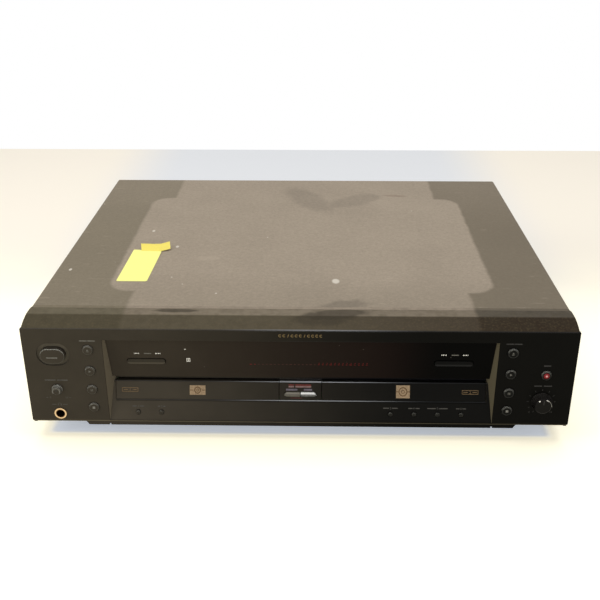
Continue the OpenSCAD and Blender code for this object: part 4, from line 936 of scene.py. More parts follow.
class Wardrobe:
    """Dresses every CAD node by the record's material slots."""

    sync_split: ClassVar[float] = 38.3 * MM
    rocker_split: ClassVar[float] = 66.9 * MM
    finishes: ClassVar[dict] = {
        "cover_paint": DustyCoverFinish(),
        "rear_paint": MouldedFinish(paint(46, 45, 44), 0.55, grain=1000.0, depth=0.00004, edge=0.0003),
        "plated_steel": MetalFinish(paint(176, 178, 178), 0.36),
        "panel_plastic": DustyMouldingFinish(),
        "smoked_window": SmokedFinish(),
        "tube_glass": MouldedFinish(paint(46, 52, 52), 0.12, grain=300.0, depth=0.000005, edge=0.0003,
                                    edge_gain=1.3, gloss=0.5),
        "circuit_board": BoardFinish(paint(34, 92, 52), paint(58, 126, 72)),
        "core_steel": CoreFinish(),
        "black_plastic": MouldedFinish(paint(40, 40, 42), 0.5),
        "socket_brass": BushFinish(),
        "foot_rubber": MouldedFinish(paint(34, 34, 34), 0.75, grain=900.0, depth=0.00006),
        "screw_steel": MetalFinish(paint(84, 84, 86), 0.4, crystal=700.0),
        "belt_rubber": MouldedFinish(paint(26, 26, 26), 0.6, grain=1800.0),
        "gear_plastic": MouldedFinish(paint(226, 220, 204), 0.42, grain=900.0, depth=0.00001, edge=0.0001,
                                      edge_gain=1.1),
        "sled_plastic": MouldedFinish(paint(60, 76, 104), 0.45),
        # Keys and rockers: painted highlights on their upper edges, painted light from the left on the dark
        # ones, painted shade below the split on the silver keys.
        "key_plastic": MouldedFinish(paint(14, 14, 13), 0.35, grain=1800.0, depth=0.00001, edge=0.0006,
                                     edge_gain=110.0, gloss=0.04, haze=0.85),
        "silver_key": MouldedFinish(paint(240, 240, 238), 0.25, grain=2200.0, depth=0.000008, edge_gain=1.1,
                                    gloss=0.4, under=0.09, split=sync_split),
        "grey_key": MouldedFinish(paint(30, 30, 28), 0.36, grain=1800.0, depth=0.00001, edge=0.0004,
                                  edge_gain=20.0, gloss=0.05, haze=0.8),
    }
    special: ClassVar[dict] = {
        "rear_jacks": JackFinish(),
        # The left sync key is a dimmer copy of the silver finish, standing in for its weaker reflection, with
        # painted shade on its lower facet; the left rocker is a lighter copy of the right one, painted light
        # from the left; the knob gets painted highlights on its edges.
        "sync_key_1": MouldedFinish(paint(126, 121, 111), 0.3, grain=2200.0, depth=0.000008, edge_gain=1.2,
                                    gloss=0.2, under=0.5, split=sync_split),
        "record_level_knob": MouldedFinish(paint(13, 12, 11), 0.3, grain=900.0, depth=0.000004, edge=0.0006,
                                           edge_gain=10.0, gloss=0.06),
        "skip_rocker_1": MouldedFinish(paint(50, 46, 39), 0.36, grain=1800.0, depth=0.00001, edge=0.0003,
                                       edge_gain=1.3, gloss=0.04, under=1.9, split=rocker_split),
        "skip_rocker_2": MouldedFinish(paint(11, 11, 11), 0.36, grain=1800.0, depth=0.00001, edge=0.0003,
                                       gloss=0.03, under=4.0, split=rocker_split),
    }

    def dress(self) -> None:
        """Gives each node's slots the material of its finish."""
        made = {slot: finish.build(slot) for slot, finish in self.finishes.items()}
        slots = {part["node"]: part["material_slot"] for part in frame["record"]["subparts"]}
        for name, obj in frame["nodes"].items():
            material = made[slots[name]]
            if name in self.special:
                material = self.special[name].build(name)
            for slot in obj.material_slots:
                slot.material = material
            log.info("dressed %s as %s", name, material.name)


class Ink(Enum):
    """Print colours."""

    PALE = InkFinish(paint(124, 122, 116))
    WHITE = InkFinish(paint(214, 212, 206))
    SOFT = InkFinish(paint(100, 98, 92))
    DIM = InkFinish(paint(76, 74, 70))
    FAINT = InkFinish(paint(54, 53, 52))
    GOLD = InkFinish(paint(132, 112, 76))
    BROWN = InkFinish(paint(112, 92, 66))
    BEIGE = InkFinish(paint(148, 127, 101))
    # Painted shade for the screw recesses.
    DARK = InkFinish(paint(44, 38, 31))
    UMBER = InkFinish(paint(98, 76, 53))
    DUSK_RED = InkFinish(paint(64, 38, 34))
    RED = InkFinish(paint(112, 46, 42))
    ROSE = InkFinish(paint(122, 98, 96))
    FAINT_RED = InkFinish(paint(104, 26, 26))
    VIOLET = InkFinish(paint(98, 92, 101))
    JACK_RED = InkFinish(paint(176, 36, 34))
    JACK_WHITE = InkFinish(paint(222, 220, 214))
    JACK_ORANGE = InkFinish(paint(206, 118, 40))

    def material(self) -> bpy.types.Material:
        """The material of this ink, made when first asked for."""
        name = f"ink_{self.name.lower()}"
        return bpy.data.materials.get(name) or self.value.build(name)


class Symbol(Enum):
    """Signs that any player carries."""

    PLAY = "play"
    PAUSE = "pause"
    STOP = "stop"
    EJECT = "eject"
    PHONES = "phones"
    SKIP_BACK = "skip back"
    SKIP_ON = "skip on"


@dataclass(frozen=True)
class PrintedFace:
    """An upright or leaning face that looks to the front, in metres."""

    y: float
    z: float = 0.0
    slope: float = 0.0

    def matrix(self, lift: float) -> Matrix:
        """Lays a flat print on the face.

        Args:
            lift: How far the print stands proud.

        Returns:
            The matrix that leans and moves the print.
        """
        lean = Matrix.Identity(4)
        lean[1][2] = self.slope
        lean[1][3] = self.y - self.slope * self.z - lift
        return lean


class PrintSheet:
    """Thin print of one ink on one face. Places and sizes are in millimetres."""

    upright = Matrix(((1, 0, 0, 0), (0, 0, -1, 0), (0, 1, 0, 0), (0, 0, 0, 1)))
    lift = 0.05 * MM
    body_depth = 0.09 * MM

    def __init__(self, name: str, face: PrintedFace, ink: Ink, body: str) -> None:
        """Starts an empty sheet.

        Args:
            name: Name of the piece.
            face: The face that it lies on.
            ink: Its ink.
            body: The CAD body that it rides on.
        """
        self.name = name
        self.face = face
        self.ink = ink
        self.body = body
        self.bm = bmesh.new()

    def spot(self, x: float, z: float, turn: float = 0.0, wide: float = 1.0, high: float = 1.0) -> Matrix:
        """Where a shape goes on the sheet.

        Args:
            x: Middle of the shape.
            z: Middle of the shape.
            turn: Turn in degrees.
            wide: Width of a unit shape.
            high: Height of a unit shape.

        Returns:
            The matrix for the shape.
        """
        move = Matrix.Translation((x * MM, 0.0, z * MM))
        size = Matrix.Diagonal((wide * MM, high * MM, 1.0, 1.0))
        return move @ self.upright @ Matrix.Rotation(math.radians(turn), 4, "Z") @ size

    def bar(self, x: float, z: float, wide: float, high: float, turn: float = 0.0) -> None:
        """A rectangle round its middle, turned by some degrees."""
        bmesh.ops.create_grid(self.bm, x_segments=1, y_segments=1, size=0.5,
                              matrix=self.spot(x, z, turn, wide, high))

    def row(self, x: float, z: float, lines: tuple, high: float) -> None:
        """Bars side by side, each given by its place from x and its width."""
        for place, wide in lines:
            self.bar(x + place, z, wide, high)

    def disc(self, x: float, z: float, radius: float, sides: int = 32, turn: float = 0.0,
             stretch: float = 1.0) -> None:
        """A filled circle, or a triangle with three sides, stretched along its own height."""
        bmesh.ops.create_circle(self.bm, cap_ends=True, segments=sides, radius=radius,
                                matrix=self.spot(x, z, turn, 1.0, stretch))

    def arc(self, x: float, z: float, radius: float, wide: float, start: float = 0.0,
            sweep: float = 360.0) -> None:
        """A round band, or a part of one.

        Args:
            x: Middle of the circle.
            z: Middle of the circle.
            radius: Radius of the middle of the band.
            wide: Width of the band.
            start: Where it starts, in degrees from the right.
            sweep: How far it goes round.
        """
        ends = [self.bm.verts.new((radius + side * wide / 2, 0.0, 0.0)) for side in (-1, 1)]
        turn = Matrix.Rotation(math.radians(start), 3, "Z")
        bmesh.ops.rotate(self.bm, verts=ends, cent=(0, 0, 0), matrix=turn)
        edge = self.bm.edges.new(ends)
        full = abs(sweep) >= 360.0
        steps = max(6, int(abs(sweep) / 10))
        before = set(self.bm.verts) - set(ends)
        bmesh.ops.spin(self.bm, geom=[*ends, edge], cent=(0, 0, 0), axis=(0, 0, 1),
                       angle=math.radians(sweep), steps=steps, use_merge=full)
        fresh = [v for v in self.bm.verts if v not in before]
        bmesh.ops.transform(self.bm, matrix=self.spot(x, z), verts=fresh)

    def frame(self, x: float, z: float, wide: float, high: float, line: float) -> None:
        """An outlined rectangle.

        Args:
            x: Its middle.
            z: Its middle.
            wide: Its width outside.
            high: Its height outside.
            line: Width of the line.
        """
        for side in (-1, 1):
            self.bar(x, z + side * (high - line) / 2, wide, line)
            self.bar(x + side * (wide - line) / 2, z, line, high - 2 * line)

    def number(self, text: str, x: float, z: float, high: float) -> None:
        """A plain number.

        Args:
            text: The figures.
            x: Its middle.
            z: Its middle.
            high: Height of the figures.
        """
        curve = bpy.data.curves.new(self.name, "FONT")
        curve.body = text
        curve.align_x = "CENTER"
        curve.align_y = "CENTER"
        curve.resolution_u = 3
        holder = bpy.data.objects.new(self.name, curve)
        bpy.context.scene.collection.objects.link(holder)
        bpy.context.view_layer.update()
        shape = bpy.data.meshes.new_from_object(holder.evaluated_get(bpy.context.evaluated_depsgraph_get()))
        before = set(self.bm.verts)
        self.bm.from_mesh(shape)
        fresh = [v for v in self.bm.verts if v not in before]
        bmesh.ops.remove_doubles(self.bm, verts=fresh, dist=1e-5)
        fresh = [v for v in self.bm.verts if v not in before]
        middle = sum((v.co for v in fresh), Vector()) / len(fresh)
        tall = max(v.co.y for v in fresh) - min(v.co.y for v in fresh)
        bmesh.ops.translate(self.bm, verts=fresh, vec=(-middle.x, -middle.y, 0.0))
        bmesh.ops.transform(self.bm, verts=fresh, matrix=self.spot(x, z, 0.0, high / tall, high / tall))
        bpy.data.objects.remove(holder)
        bpy.data.curves.remove(curve)
        bpy.data.meshes.remove(shape)

    def symbol(self, sign: Symbol, x: float, z: float, size: float) -> None:
        """One of the common signs.

        Args:
            sign: Which sign.
            x: Its middle.
            z: Its middle.
            size: Its height.
        """
        half = size / 2
        if sign is Symbol.PLAY:
            self.disc(x - 0.1 * size, z, 0.6 * size, 3, -90)
        elif sign is Symbol.PAUSE:
            for side in (-1, 1):
                self.bar(x + side * 0.3 * size, z, 0.28 * size, size)
        elif sign is Symbol.STOP:
            self.bar(x, z, size, size)
        elif sign is Symbol.EJECT:
            self.disc(x, z + 0.1 * size, 0.5 * size, 3, 0)
            self.bar(x, z - half, 0.9 * size, 0.2 * size)
        elif sign is Symbol.PHONES:
            self.arc(x, z, half, 0.16 * size, 0, 180)
            for side in (-1, 1):
                self.bar(x + side * half, z - 0.2 * size, 0.3 * size, 0.5 * size)
        else:
            way = 1 if sign is Symbol.SKIP_ON else -1
            for i in range(2):
                self.disc(x + way * (i * 1.25 - 1.1) * size, z, 0.5 * size, 3, -90 * way, 1.5)
            self.bar(x + way * 1.05 * size, z, 0.2 * size, 0.9 * size)

    def finish(self) -> bpy.types.Object:
        """Thickens the print, lays it on its face and lets it ride.

        Returns:
            The finished piece.
        """
        bmesh.ops.remove_doubles(self.bm, verts=self.bm.verts, dist=1e-7)
        grown = bmesh.ops.extrude_face_region(self.bm, geom=list(self.bm.faces))
        backs = [v for v in grown["geom"] if isinstance(v, bmesh.types.BMVert)]
        bmesh.ops.translate(self.bm, verts=backs, vec=(0.0, self.body_depth, 0.0))
        bmesh.ops.recalc_face_normals(self.bm, faces=self.bm.faces)
        bmesh.ops.transform(self.bm, matrix=self.face.matrix(self.lift), verts=self.bm.verts)
        return place_piece(self.name, self.bm, self.ink.material(), self.body)


def mesh_object(name: str, bm: bmesh.types.BMesh, material: bpy.types.Material) -> bpy.types.Object:
    """Makes an object of a mesh and puts it in the scene.

    Args:
        name: Name of the object.
        bm: Its mesh, in the row frame.
        material: Its material.

    Returns:
        The object.
    """
    mesh = bpy.data.meshes.new(name)
    bm.to_mesh(mesh)
    bm.free()
    mesh.materials.append(material)
    obj = bpy.data.objects.new(name, mesh)
    bpy.context.scene.collection.objects.link(obj)
    return obj


def place_piece(name: str, bm: bmesh.types.BMesh, material: bpy.types.Material,
                body: str) -> bpy.types.Object:
    """Makes a finished object of a mesh and lets it ride on a body.

    Args:
        name: Name of the piece.
        bm: Its mesh, in the row frame.
        material: Its material.
        body: The CAD body that it rides on.

    Returns:
        The object.
    """
    obj = mesh_object(name, bm, material)
    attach(obj, body)
    log.info("made %s on %s", name, body)
    return obj


def middle_of(node: str) -> tuple[float, float]:
    """Middle of a CAD node seen from the front, in millimetres."""
    low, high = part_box(node)
    return ((low[0] + high[0]) / 2 / MM, (low[2] + high[2]) / 2 / MM)


def front_of(node: str) -> PrintedFace:
    """The foremost upright face of a CAD node."""
    return PrintedFace(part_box(node)[0][1])


@dataclass
class FrontFaces:
    """The three faces of the front that carry print."""

    fascia_slope: float = 0.36964
    window_slope: float = -0.14825

    def __post_init__(self) -> None:
        """Reads the faces' places from the CAD boxes."""
        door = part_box("tray_door_1")[0]
        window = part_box("display_window")
        self.plate = front_of("front_panel")
        self.fascia = PrintedFace(door[1], door[2], self.fascia_slope)
        self.window = PrintedFace(window[0][1], window[1][2], self.window_slope)


@dataclass
class TransportKeys:
    """Signs on the round keys, and the record key's lens."""

    signs: ClassVar[dict] = {"open": Symbol.EJECT, "play": Symbol.PLAY, "pause": Symbol.PAUSE,
                             "stop": Symbol.STOP}
    sign_size: float = 2.0
    power_bar: tuple = (8.6, 1.0)
    power_drop: float = 1.0
    lens_r: float = 2.3
    lens_rise: float = 0.5
    bar_lift: float = 0.02
    bar_depth: float = 0.25

    def build(self) -> None:
        """Makes a sign for each key."""
        for deck in (1, 2):
            for word, sign in self.signs.items():
                key = f"deck_{deck}_{word}_key"
                ink = Ink.PALE if sign is Symbol.STOP else Ink.SOFT
                sheet = PrintSheet(f"{key}_sign", front_of(key), ink, key)
                sheet.symbol(sign, *middle_of(key), self.sign_size)
                sheet.finish()
        sheet = PrintSheet("power_bar", front_of("power_button"), Ink.SOFT, "power_button")
        x, z = middle_of("power_button")
        sheet.bar(x, z - self.power_drop, *self.power_bar)
        sheet.lift = self.bar_lift * MM
        sheet.body_depth = self.bar_depth * MM
        sheet.finish()
        self.lens()

    def lens(self) -> None:
        """Makes the red dome on the record key."""
        x, z = middle_of("record_button")
        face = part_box("record_button")[0][1]
        bm = bmesh.new()
        flat = Matrix.Diagonal((1.0, self.lens_rise / self.lens_r, 1.0, 1.0))
        place = Matrix.Translation((x * MM, face, z * MM)) @ flat
        bmesh.ops.create_uvsphere(bm, u_segments=32, v_segments=16, radius=self.lens_r * MM, matrix=place)
        for part in bm.faces:
            part.smooth = True
        front = (x * MM, face - self.lens_rise * MM, z * MM)
        place_piece("record_lens", bm, LensFinish(middle=front).build("record_lens"), "record_button")


@dataclass
class PlateLegends:
    """Scales, numbers and signs printed on the plate."""

    faces: FrontFaces
    tick_r: float = 10.6
    tick_l: float = 1.5
    tick_w: float = 0.35
    ticks: int = 11
    tick_first: float = 240.0
    tick_step: float = 30.0
    number_drop: float = 9.6
    record_numbers: tuple = (("0", -8.6), ("10", 8.8))
    record_lines: tuple = ((-3.9, 6.0), (3.6, 6.4))
    record_up: float = 14.2
    record_key_up: float = 8.2
    phone_numbers: tuple = (("0", -6.6), ("10", 6.8))
    phone_lines: tuple = ((-5.0, 8.6), (4.8, 8.2))
    phone_ends: tuple = ((-9.2, 1.8), (9.2, 1.8))
    phone_up: float = 8.0
    phone_drop: float = 8.0
    socket_lines: tuple = ((-4.4, 3.6), (4.4, 3.6))
    socket_up: float = 8.0
    open_lines: tuple = ((-3.1, 5.6), (3.5, 5.6))
    open_up: float = 7.8
    head_x: float = -14.4
    head_z: float = 94.8
    head_pitch: float = 3.15
    head_strokes: str = "oo/ooo/oooo"

    def build(self) -> None:
        """Prints the scales round the knobs and the lines over the keys."""
        self.record_scale()
        self.phone_scale()
        self.key_lines()
        self.head_line()

    def record_scale(self) -> None:
        """Ticks and numbers round the record level knob."""
        x, z = middle_of("record_level_knob")
        sheet = PrintSheet("record_scale", self.faces.plate, Ink.FAINT, "cabinet")
        for i in range(self.ticks):
            angle = math.radians(self.tick_first - self.tick_step * i)
            sheet.bar(x + self.tick_r * math.cos(angle), z + self.tick_r * math.sin(angle),
                      self.tick_l, self.tick_w, math.degrees(angle))
        for figures, aside in self.record_numbers:
            sheet.number(figures, x + aside, z - self.number_drop, 1.5)
        sheet.row(x, z + self.record_up, self.record_lines, 0.9)
        sheet.finish()
        key_x, key_z = middle_of("record_button")
        line = PrintSheet("record_line", self.faces.plate, Ink.FAINT, "cabinet")
        line.bar(key_x, key_z + self.record_key_up, 5.4, 1.0)
        line.finish()

    def phone_scale(self) -> None:
        """Ticks, numbers and sign round the phones level knob and socket."""
        x, z = middle_of("phone_level_knob")
        sheet = PrintSheet("phone_scale", self.faces.plate, Ink.DIM, "cabinet")
        sheet.row(x, z + self.phone_up, self.phone_lines, 1.0)
        for figures, aside in self.phone_numbers:
            sheet.number(figures, x + aside, z - self.phone_drop, 1.6)
        sheet.row(x, z - self.phone_drop, self.phone_ends, 0.4)
        socket_x, socket_z = middle_of("headphone_bush")
        sheet.symbol(Symbol.PHONES, socket_x, socket_z + self.socket_up + 0.2, 2.4)
        sheet.row(socket_x, socket_z + self.socket_up, self.socket_lines, 0.5)
        sheet.finish()

    def key_lines(self) -> None:
        """A line over each open key."""
        # Painted shade: deck 2's line, on the darker right, is given a dimmer ink than deck 1's.
        for deck, ink in ((1, Ink.SOFT), (2, Ink.FAINT)):
            sheet = PrintSheet(f"open_line_{deck}", self.faces.plate, ink, "cabinet")
            x, z = middle_of(f"deck_{deck}_open_key")
            z += self.open_up
            sheet.row(x, z, self.open_lines, 0.9)
            sheet.bar(x + 0.25, z, 0.3, 1.4, -20)
            sheet.finish()

    def head_line(self) -> None:
        """A row of short gold strokes over the window."""
        sheet = PrintSheet("head_line", self.faces.plate, Ink.GOLD, "cabinet")
        for i, stroke in enumerate(self.head_strokes):
            x = self.head_x + self.head_pitch * i
            if stroke == "o":
                sheet.arc(x, self.head_z, 0.95, 0.4, 40, 280)
            else:
                sheet.bar(x, self.head_z, 0.4, 2.6, -20)
        sheet.finish()


@dataclass
class WindowLegends:
    """Signs over the rockers and the scale on the display window."""

    faces: FrontFaces
    shift: ClassVar[dict] = {1: (-0.4, -0.6), 2: (-1.5, 0.0)}
    sign_up: float = 7.9
    sign_size: float = 1.5
    mark: tuple = (-87.2, 68.9)
    dot: tuple = (-89.2, 79.2)
    scale_x: float = -38.0
    scale_z: float = 65.2
    scale_pitch: float = 3.15
    scale_steps: int = 30
    unlit: tuple = (2, 16)

    def build(self) -> None:
        """Prints the window."""
        signs = PrintSheet("rocker_signs", self.faces.window, Ink.WHITE, "cabinet")
        dim = PrintSheet("rocker_lines", self.faces.window, Ink.SOFT, "cabinet")
        for rocker in (1, 2):
            x, z = middle_of(f"skip_rocker_{rocker}")
            x += self.shift[rocker][0]
            z += self.sign_up + self.shift[rocker][1]
            signs.symbol(Symbol.SKIP_BACK, x - 7.0, z, self.sign_size)
            signs.symbol(Symbol.SKIP_ON, x + 10.4, z, self.sign_size)
            dim.bar(x + 2.0, z, 5.6, 0.9)
        signs.frame(*self.mark, 2.9, 3.4, 0.5)
        signs.bar(*self.mark, 0.5, 2.6)
        signs.bar(*self.dot, 1.2, 0.7)
        signs.finish()
        dim.finish()
        scale = PrintSheet("window_scale", self.faces.window, Ink.FAINT_RED, "cabinet")
        dark = PrintSheet("window_scale_unlit", self.faces.window, Ink.DUSK_RED, "cabinet")
        first, last = self.unlit
        for i in range(self.scale_steps):
            x = self.scale_x + self.scale_pitch * i
            row = dark if first <= i <= last else scale
            row.bar(x, self.scale_z, 1.3 if i % 5 else 1.9, 0.5)
            if i > last:
                row.bar(x + 0.3, self.scale_z + 1.5, 0.6, 0.6)
        scale.finish()
        dark.finish()


@dataclass
class FasciaLegends:
    """Boxed numbers, disc tiles and lines on the doors, the block and the strip."""

    faces: FrontFaces
    box_w: float = 13.0
    box_h: float = 3.2
    line_up: float = 4.5
    door_z: float = 40.3
    doors: tuple = ((1, -136.0, -81.6, 12.7, 7.2), (2, 136.8, 83.2, 11.0, 9.8))
    ring_lift: float = 0.1
    box_lines: tuple = ((-3.6, 3.4), (3.6, 3.4))
    block_rows: tuple = (
        ("block_red_lines", Ink.RED, 44.8, ((-6.2, 4.4), (3.4, 12.6)), 0.7),
        ("block_rose_lines", Ink.ROSE, 43.5, ((-6.2, 4.4), (3.4, 12.6)), 1.2),
        ("block_grey_lines", Ink.VIOLET, 41.2, ((-5.9, 9.0), (7.1, 6.5)), 1.4),
        ("block_dusk_line", Ink.DUSK_RED, 34.9, ((-2.2, 9.4),), 0.9),
    )
    small_lines: tuple = (9.5, 6.0, 11.5, 9.1, 16.3, 8.0)
    figure_gap: float = 2.4

    def build(self) -> None:
        """Prints both doors, the centre block and the strip."""
        for door in self.doors:
            self.door(*door)
        self.block()
        self.strip()

    def door(self, deck: int, box_x: float, tile_x: float, wide: float, high: float) -> None:
        """The boxed number and the disc tile of one door.

        Args:
            deck: Number of the deck.
            box_x: Middle of the box.
            tile_x: Middle of the tile.
            wide: Width of the tile.
            high: Height of the tile.
        """
        z = self.door_z
        body = f"tray_{deck}"
        box = PrintSheet(f"deck_{deck}_box", self.faces.fascia, Ink.BROWN, body)
        box.frame(box_x, z, self.box_w, self.box_h, 0.4)
        box.number(str(deck), box_x, z, 2.0)
        box.row(box_x, z, self.box_lines, 0.5)
        box.finish()
        tile = PrintSheet(f"deck_{deck}_tile", self.faces.fascia, Ink.BEIGE, body)
        tile.bar(tile_x, z, wide, high)
        tile.finish()
        rings = PrintSheet(f"deck_{deck}_rings", self.faces.fascia, Ink.UMBER, body)
        rings.lift = self.ring_lift * MM
        rings.arc(tile_x, z, 0.32 * high, 0.8)
        rings.arc(tile_x, z, 0.12 * high, 0.5)
        for side in (-1, 1):
            rings.bar(tile_x + side * (0.25 * wide + 0.2 * high), z, 0.2 * wide, 0.6)
        rings.finish()

    def block(self) -> None:
        """Lines on the centre block over and under the silver keys."""
        for name, ink, z, lines, high in self.block_rows:
            sheet = PrintSheet(name, self.faces.fascia, ink, "cabinet")
            sheet.row(0.0, z, lines, high)
            sheet.finish()

    def strip(self) -> None:
        """A numbered line over each small key."""
        sheet = PrintSheet("small_key_lines", self.faces.fascia, Ink.DIM, "cabinet")
        for i, wide in enumerate(self.small_lines, start=1):
            x, z = middle_of(f"small_key_{i}")
            sheet.number(str(i), x, z + self.line_up, 1.7)
            part = (wide - self.figure_gap) / 2
            aside = (self.figure_gap + part) / 2
            sheet.row(x, z + self.line_up, ((-aside, part), (aside, part)), 0.7)
        sheet.finish()


@dataclass
class LevelKnobs:
    """Pointer lines and painted highlights round the faces of the two level knobs."""

    taper: float = 0.78
    margin: float = 1.2
    pointer_w: float = 0.6
    pointers: ClassVar[dict] = {"record_level_knob": 3.6, "phone_level_knob": 2.2}
    rims: ClassVar[dict] = {
        "record_level_knob": ((Ink.WHITE, 0.6, 52, 22), (Ink.PALE, 0.45, 2, 48), (Ink.WHITE, 1.1, 119, 12)),
        "phone_level_knob": ((Ink.SOFT, 0.9, 325, 250),),
    }

    def build(self) -> None:
        """Makes one pointer and the painted highlights round the face of each knob."""
        for knob, length in self.pointers.items():
            low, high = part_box(knob)
            x, z = middle_of(knob)
            radius = (high[0] - low[0]) / 2 / MM
            sheet = PrintSheet(f"{knob}_pointer", front_of(knob), Ink.FAINT, knob)
            sheet.bar(x, z + self.taper * radius - self.margin - length / 2, self.pointer_w, length)
            sheet.finish()
            # Painted highlight: light-inked arcs round the face stand in for glints.
            for ink, wide, start, sweep in self.rims[knob]:
                painted_rim_highlight = PrintSheet(f"{knob}_rim_{start}", front_of(knob), ink, knob)
                painted_rim_highlight.arc(x, z, self.taper * radius - wide / 2, wide, start, sweep)
                painted_rim_highlight.finish()


@dataclass
class RearRings:
    """Coloured rings round the line jacks and dark crosses of painted shade in the screw heads."""

    ring_r: float = 5.6
    ring_w: float = 1.1
    cross: tuple = (2.6, 0.6)
    lift: float = 0.04
    head_t: float = 1.6
    screw: tuple = (186.0, 29.5)
    jacks: ClassVar[dict] = {
        Ink.JACK_WHITE: ((62, 39.5), (62, 59.5)),
        Ink.JACK_RED: ((82, 39.5), (82, 59.5)),
        Ink.JACK_ORANGE: ((106, 39.5),),
    }

    def build(self) -> None:
        """Makes the rings on the rear panel and the dark crosses of painted shade in the screws."""
        back_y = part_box("rear_panel")[1][1]
        back = PrintedFace(back_y)
        for ink, places in self.jacks.items():
            sheet = PrintSheet(f"jack_rings_{ink.name.lower()}", back, ink, "cabinet")
            sheet.lift = self.lift * MM
            for x, z in places:
                sheet.arc(x, z, self.ring_r, self.ring_w)
            sheet.finish()
        head_face = PrintedFace(back_y + self.head_t * MM)
        # Painted shade: dark crosses stand in for the shaded recesses of the screw heads.
        heads = PrintSheet("rear_screw_crosses", head_face, Ink.DARK, "cabinet")
        heads.lift = self.lift * MM
        for side in (-1, 1):
            for turn in (20, 110):
                heads.bar(side * self.screw[0], self.screw[1], *self.cross, turn)
        heads.finish()


@dataclass
class PaperTag:
    """A blank paper tag with a bent flag, lying on the cover. Millimetres, row frame."""

    tag: tuple = (-156.0, -129.8, -103.0, -33.6)
    skew: float = 3.3
    lean: float = 1.8
    corner: float = 1.6
    paper_t: float = 0.16
    rest: float = 0.06
    flag_start: tuple = (-147.2, -35.0, 0.5)
    flag_head: tuple = (-1.4, 6.4, 4.6)
    flag_steps: tuple = ((6.2, -0.3, 0.0), (6.2, -0.4, 0.0), (5.8, -0.1, 0.2), (4.4, 1.4, 0.6),
                         (3.8, 1.6, 0.7))
    cuts: int = 12
    curl: float = 0.3
    lean_from: float = 0.35
    paper: PaperFinish = PaperFinish(paint(252, 250, 150))
    flag_paper: PaperFinish = PaperFinish(paint(236, 219, 108))

    def build(self) -> None:
        """Makes the tag and its flag."""
        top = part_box("top_cover")[1][2]
        self.sheet(top)
        self.flag(top)

    def sheet(self, top: float) -> None:
        """The flat tag, its far edge lifted a little.

        Args:
            top: Height of the cover.
        """
        x0, x1, y0, y1 = (v * MM for v in self.tag)
        bm = bmesh.new()
        middle = Matrix.Translation(((x0 + x1) / 2, (y0 + y1) / 2, top + self.rest * MM))
        size = Matrix.Diagonal((x1 - x0, y1 - y0, 1.0, 1.0))
        bmesh.ops.create_grid(bm, x_segments=1, y_segments=1, size=0.5, matrix=middle @ size)
        bmesh.ops.bevel(bm, geom=list(bm.verts), offset=self.corner * MM, segments=5, profile=0.5,
                        affect="VERTICES", material=-1)
        for i in range(1, self.cuts):
            cut = y0 + (y1 - y0) * i / self.cuts
            bmesh.ops.bisect_plane(bm, geom=[*bm.verts, *bm.edges, *bm.faces], dist=1e-7,
                                   plane_co=(0.0, cut, 0.0), plane_no=(0.0, 1.0, 0.0))
        for vert in bm.verts:
            along = (vert.co.y - y0) / (y1 - y0)
            aside = (vert.co.x - x0) / (x1 - x0) - 0.5
            vert.co.y -= self.skew * MM * aside * along
            vert.co.x += self.lean * MM * (along - self.lean_from)
            vert.co.z += self.curl * MM * along ** 4
        grown = bmesh.ops.extrude_face_region(bm, geom=list(bm.faces))
        raised = [v for v in grown["geom"] if isinstance(v, bmesh.types.BMVert)]
        bmesh.ops.translate(bm, verts=raised, vec=(0.0, 0.0, self.paper_t * MM))
        bmesh.ops.recalc_face_normals(bm, faces=bm.faces)
        place_piece("paper_tag", bm, self.paper.build("tag_paper"), "cabinet")

    def flag(self, top: float) -> None:
        """The bent strip at the far edge of the tag.

        Args:
            top: Height of the cover.
        """
        bm = bmesh.new()
        foot_place = Vector(self.flag_start) * MM + Vector((0.0, 0.0, top))
        foot = bm.verts.new(foot_place)
        head = bm.verts.new(foot_place + Vector(self.flag_head) * MM)
        edge = bm.edges.new((foot, head))
        for dx, dy, dz in self.flag_steps:
            grown = bmesh.ops.extrude_edge_only(bm, edges=[edge])["geom"]
            fresh = [v for v in grown if isinstance(v, bmesh.types.BMVert)]
            bmesh.ops.translate(bm, verts=fresh, vec=(dx * MM, dy * MM, dz * MM))
            edge = next(e for e in grown if isinstance(e, bmesh.types.BMEdge) and set(e.verts) == set(fresh))
        bmesh.ops.recalc_face_normals(bm, faces=bm.faces)
        bmesh.ops.solidify(bm, geom=list(bm.faces), thickness=self.paper_t * MM)
        bmesh.ops.recalc_face_normals(bm, faces=bm.faces)
        place_piece("paper_flag", bm, self.flag_paper.build("flag_paper"), "cabinet")


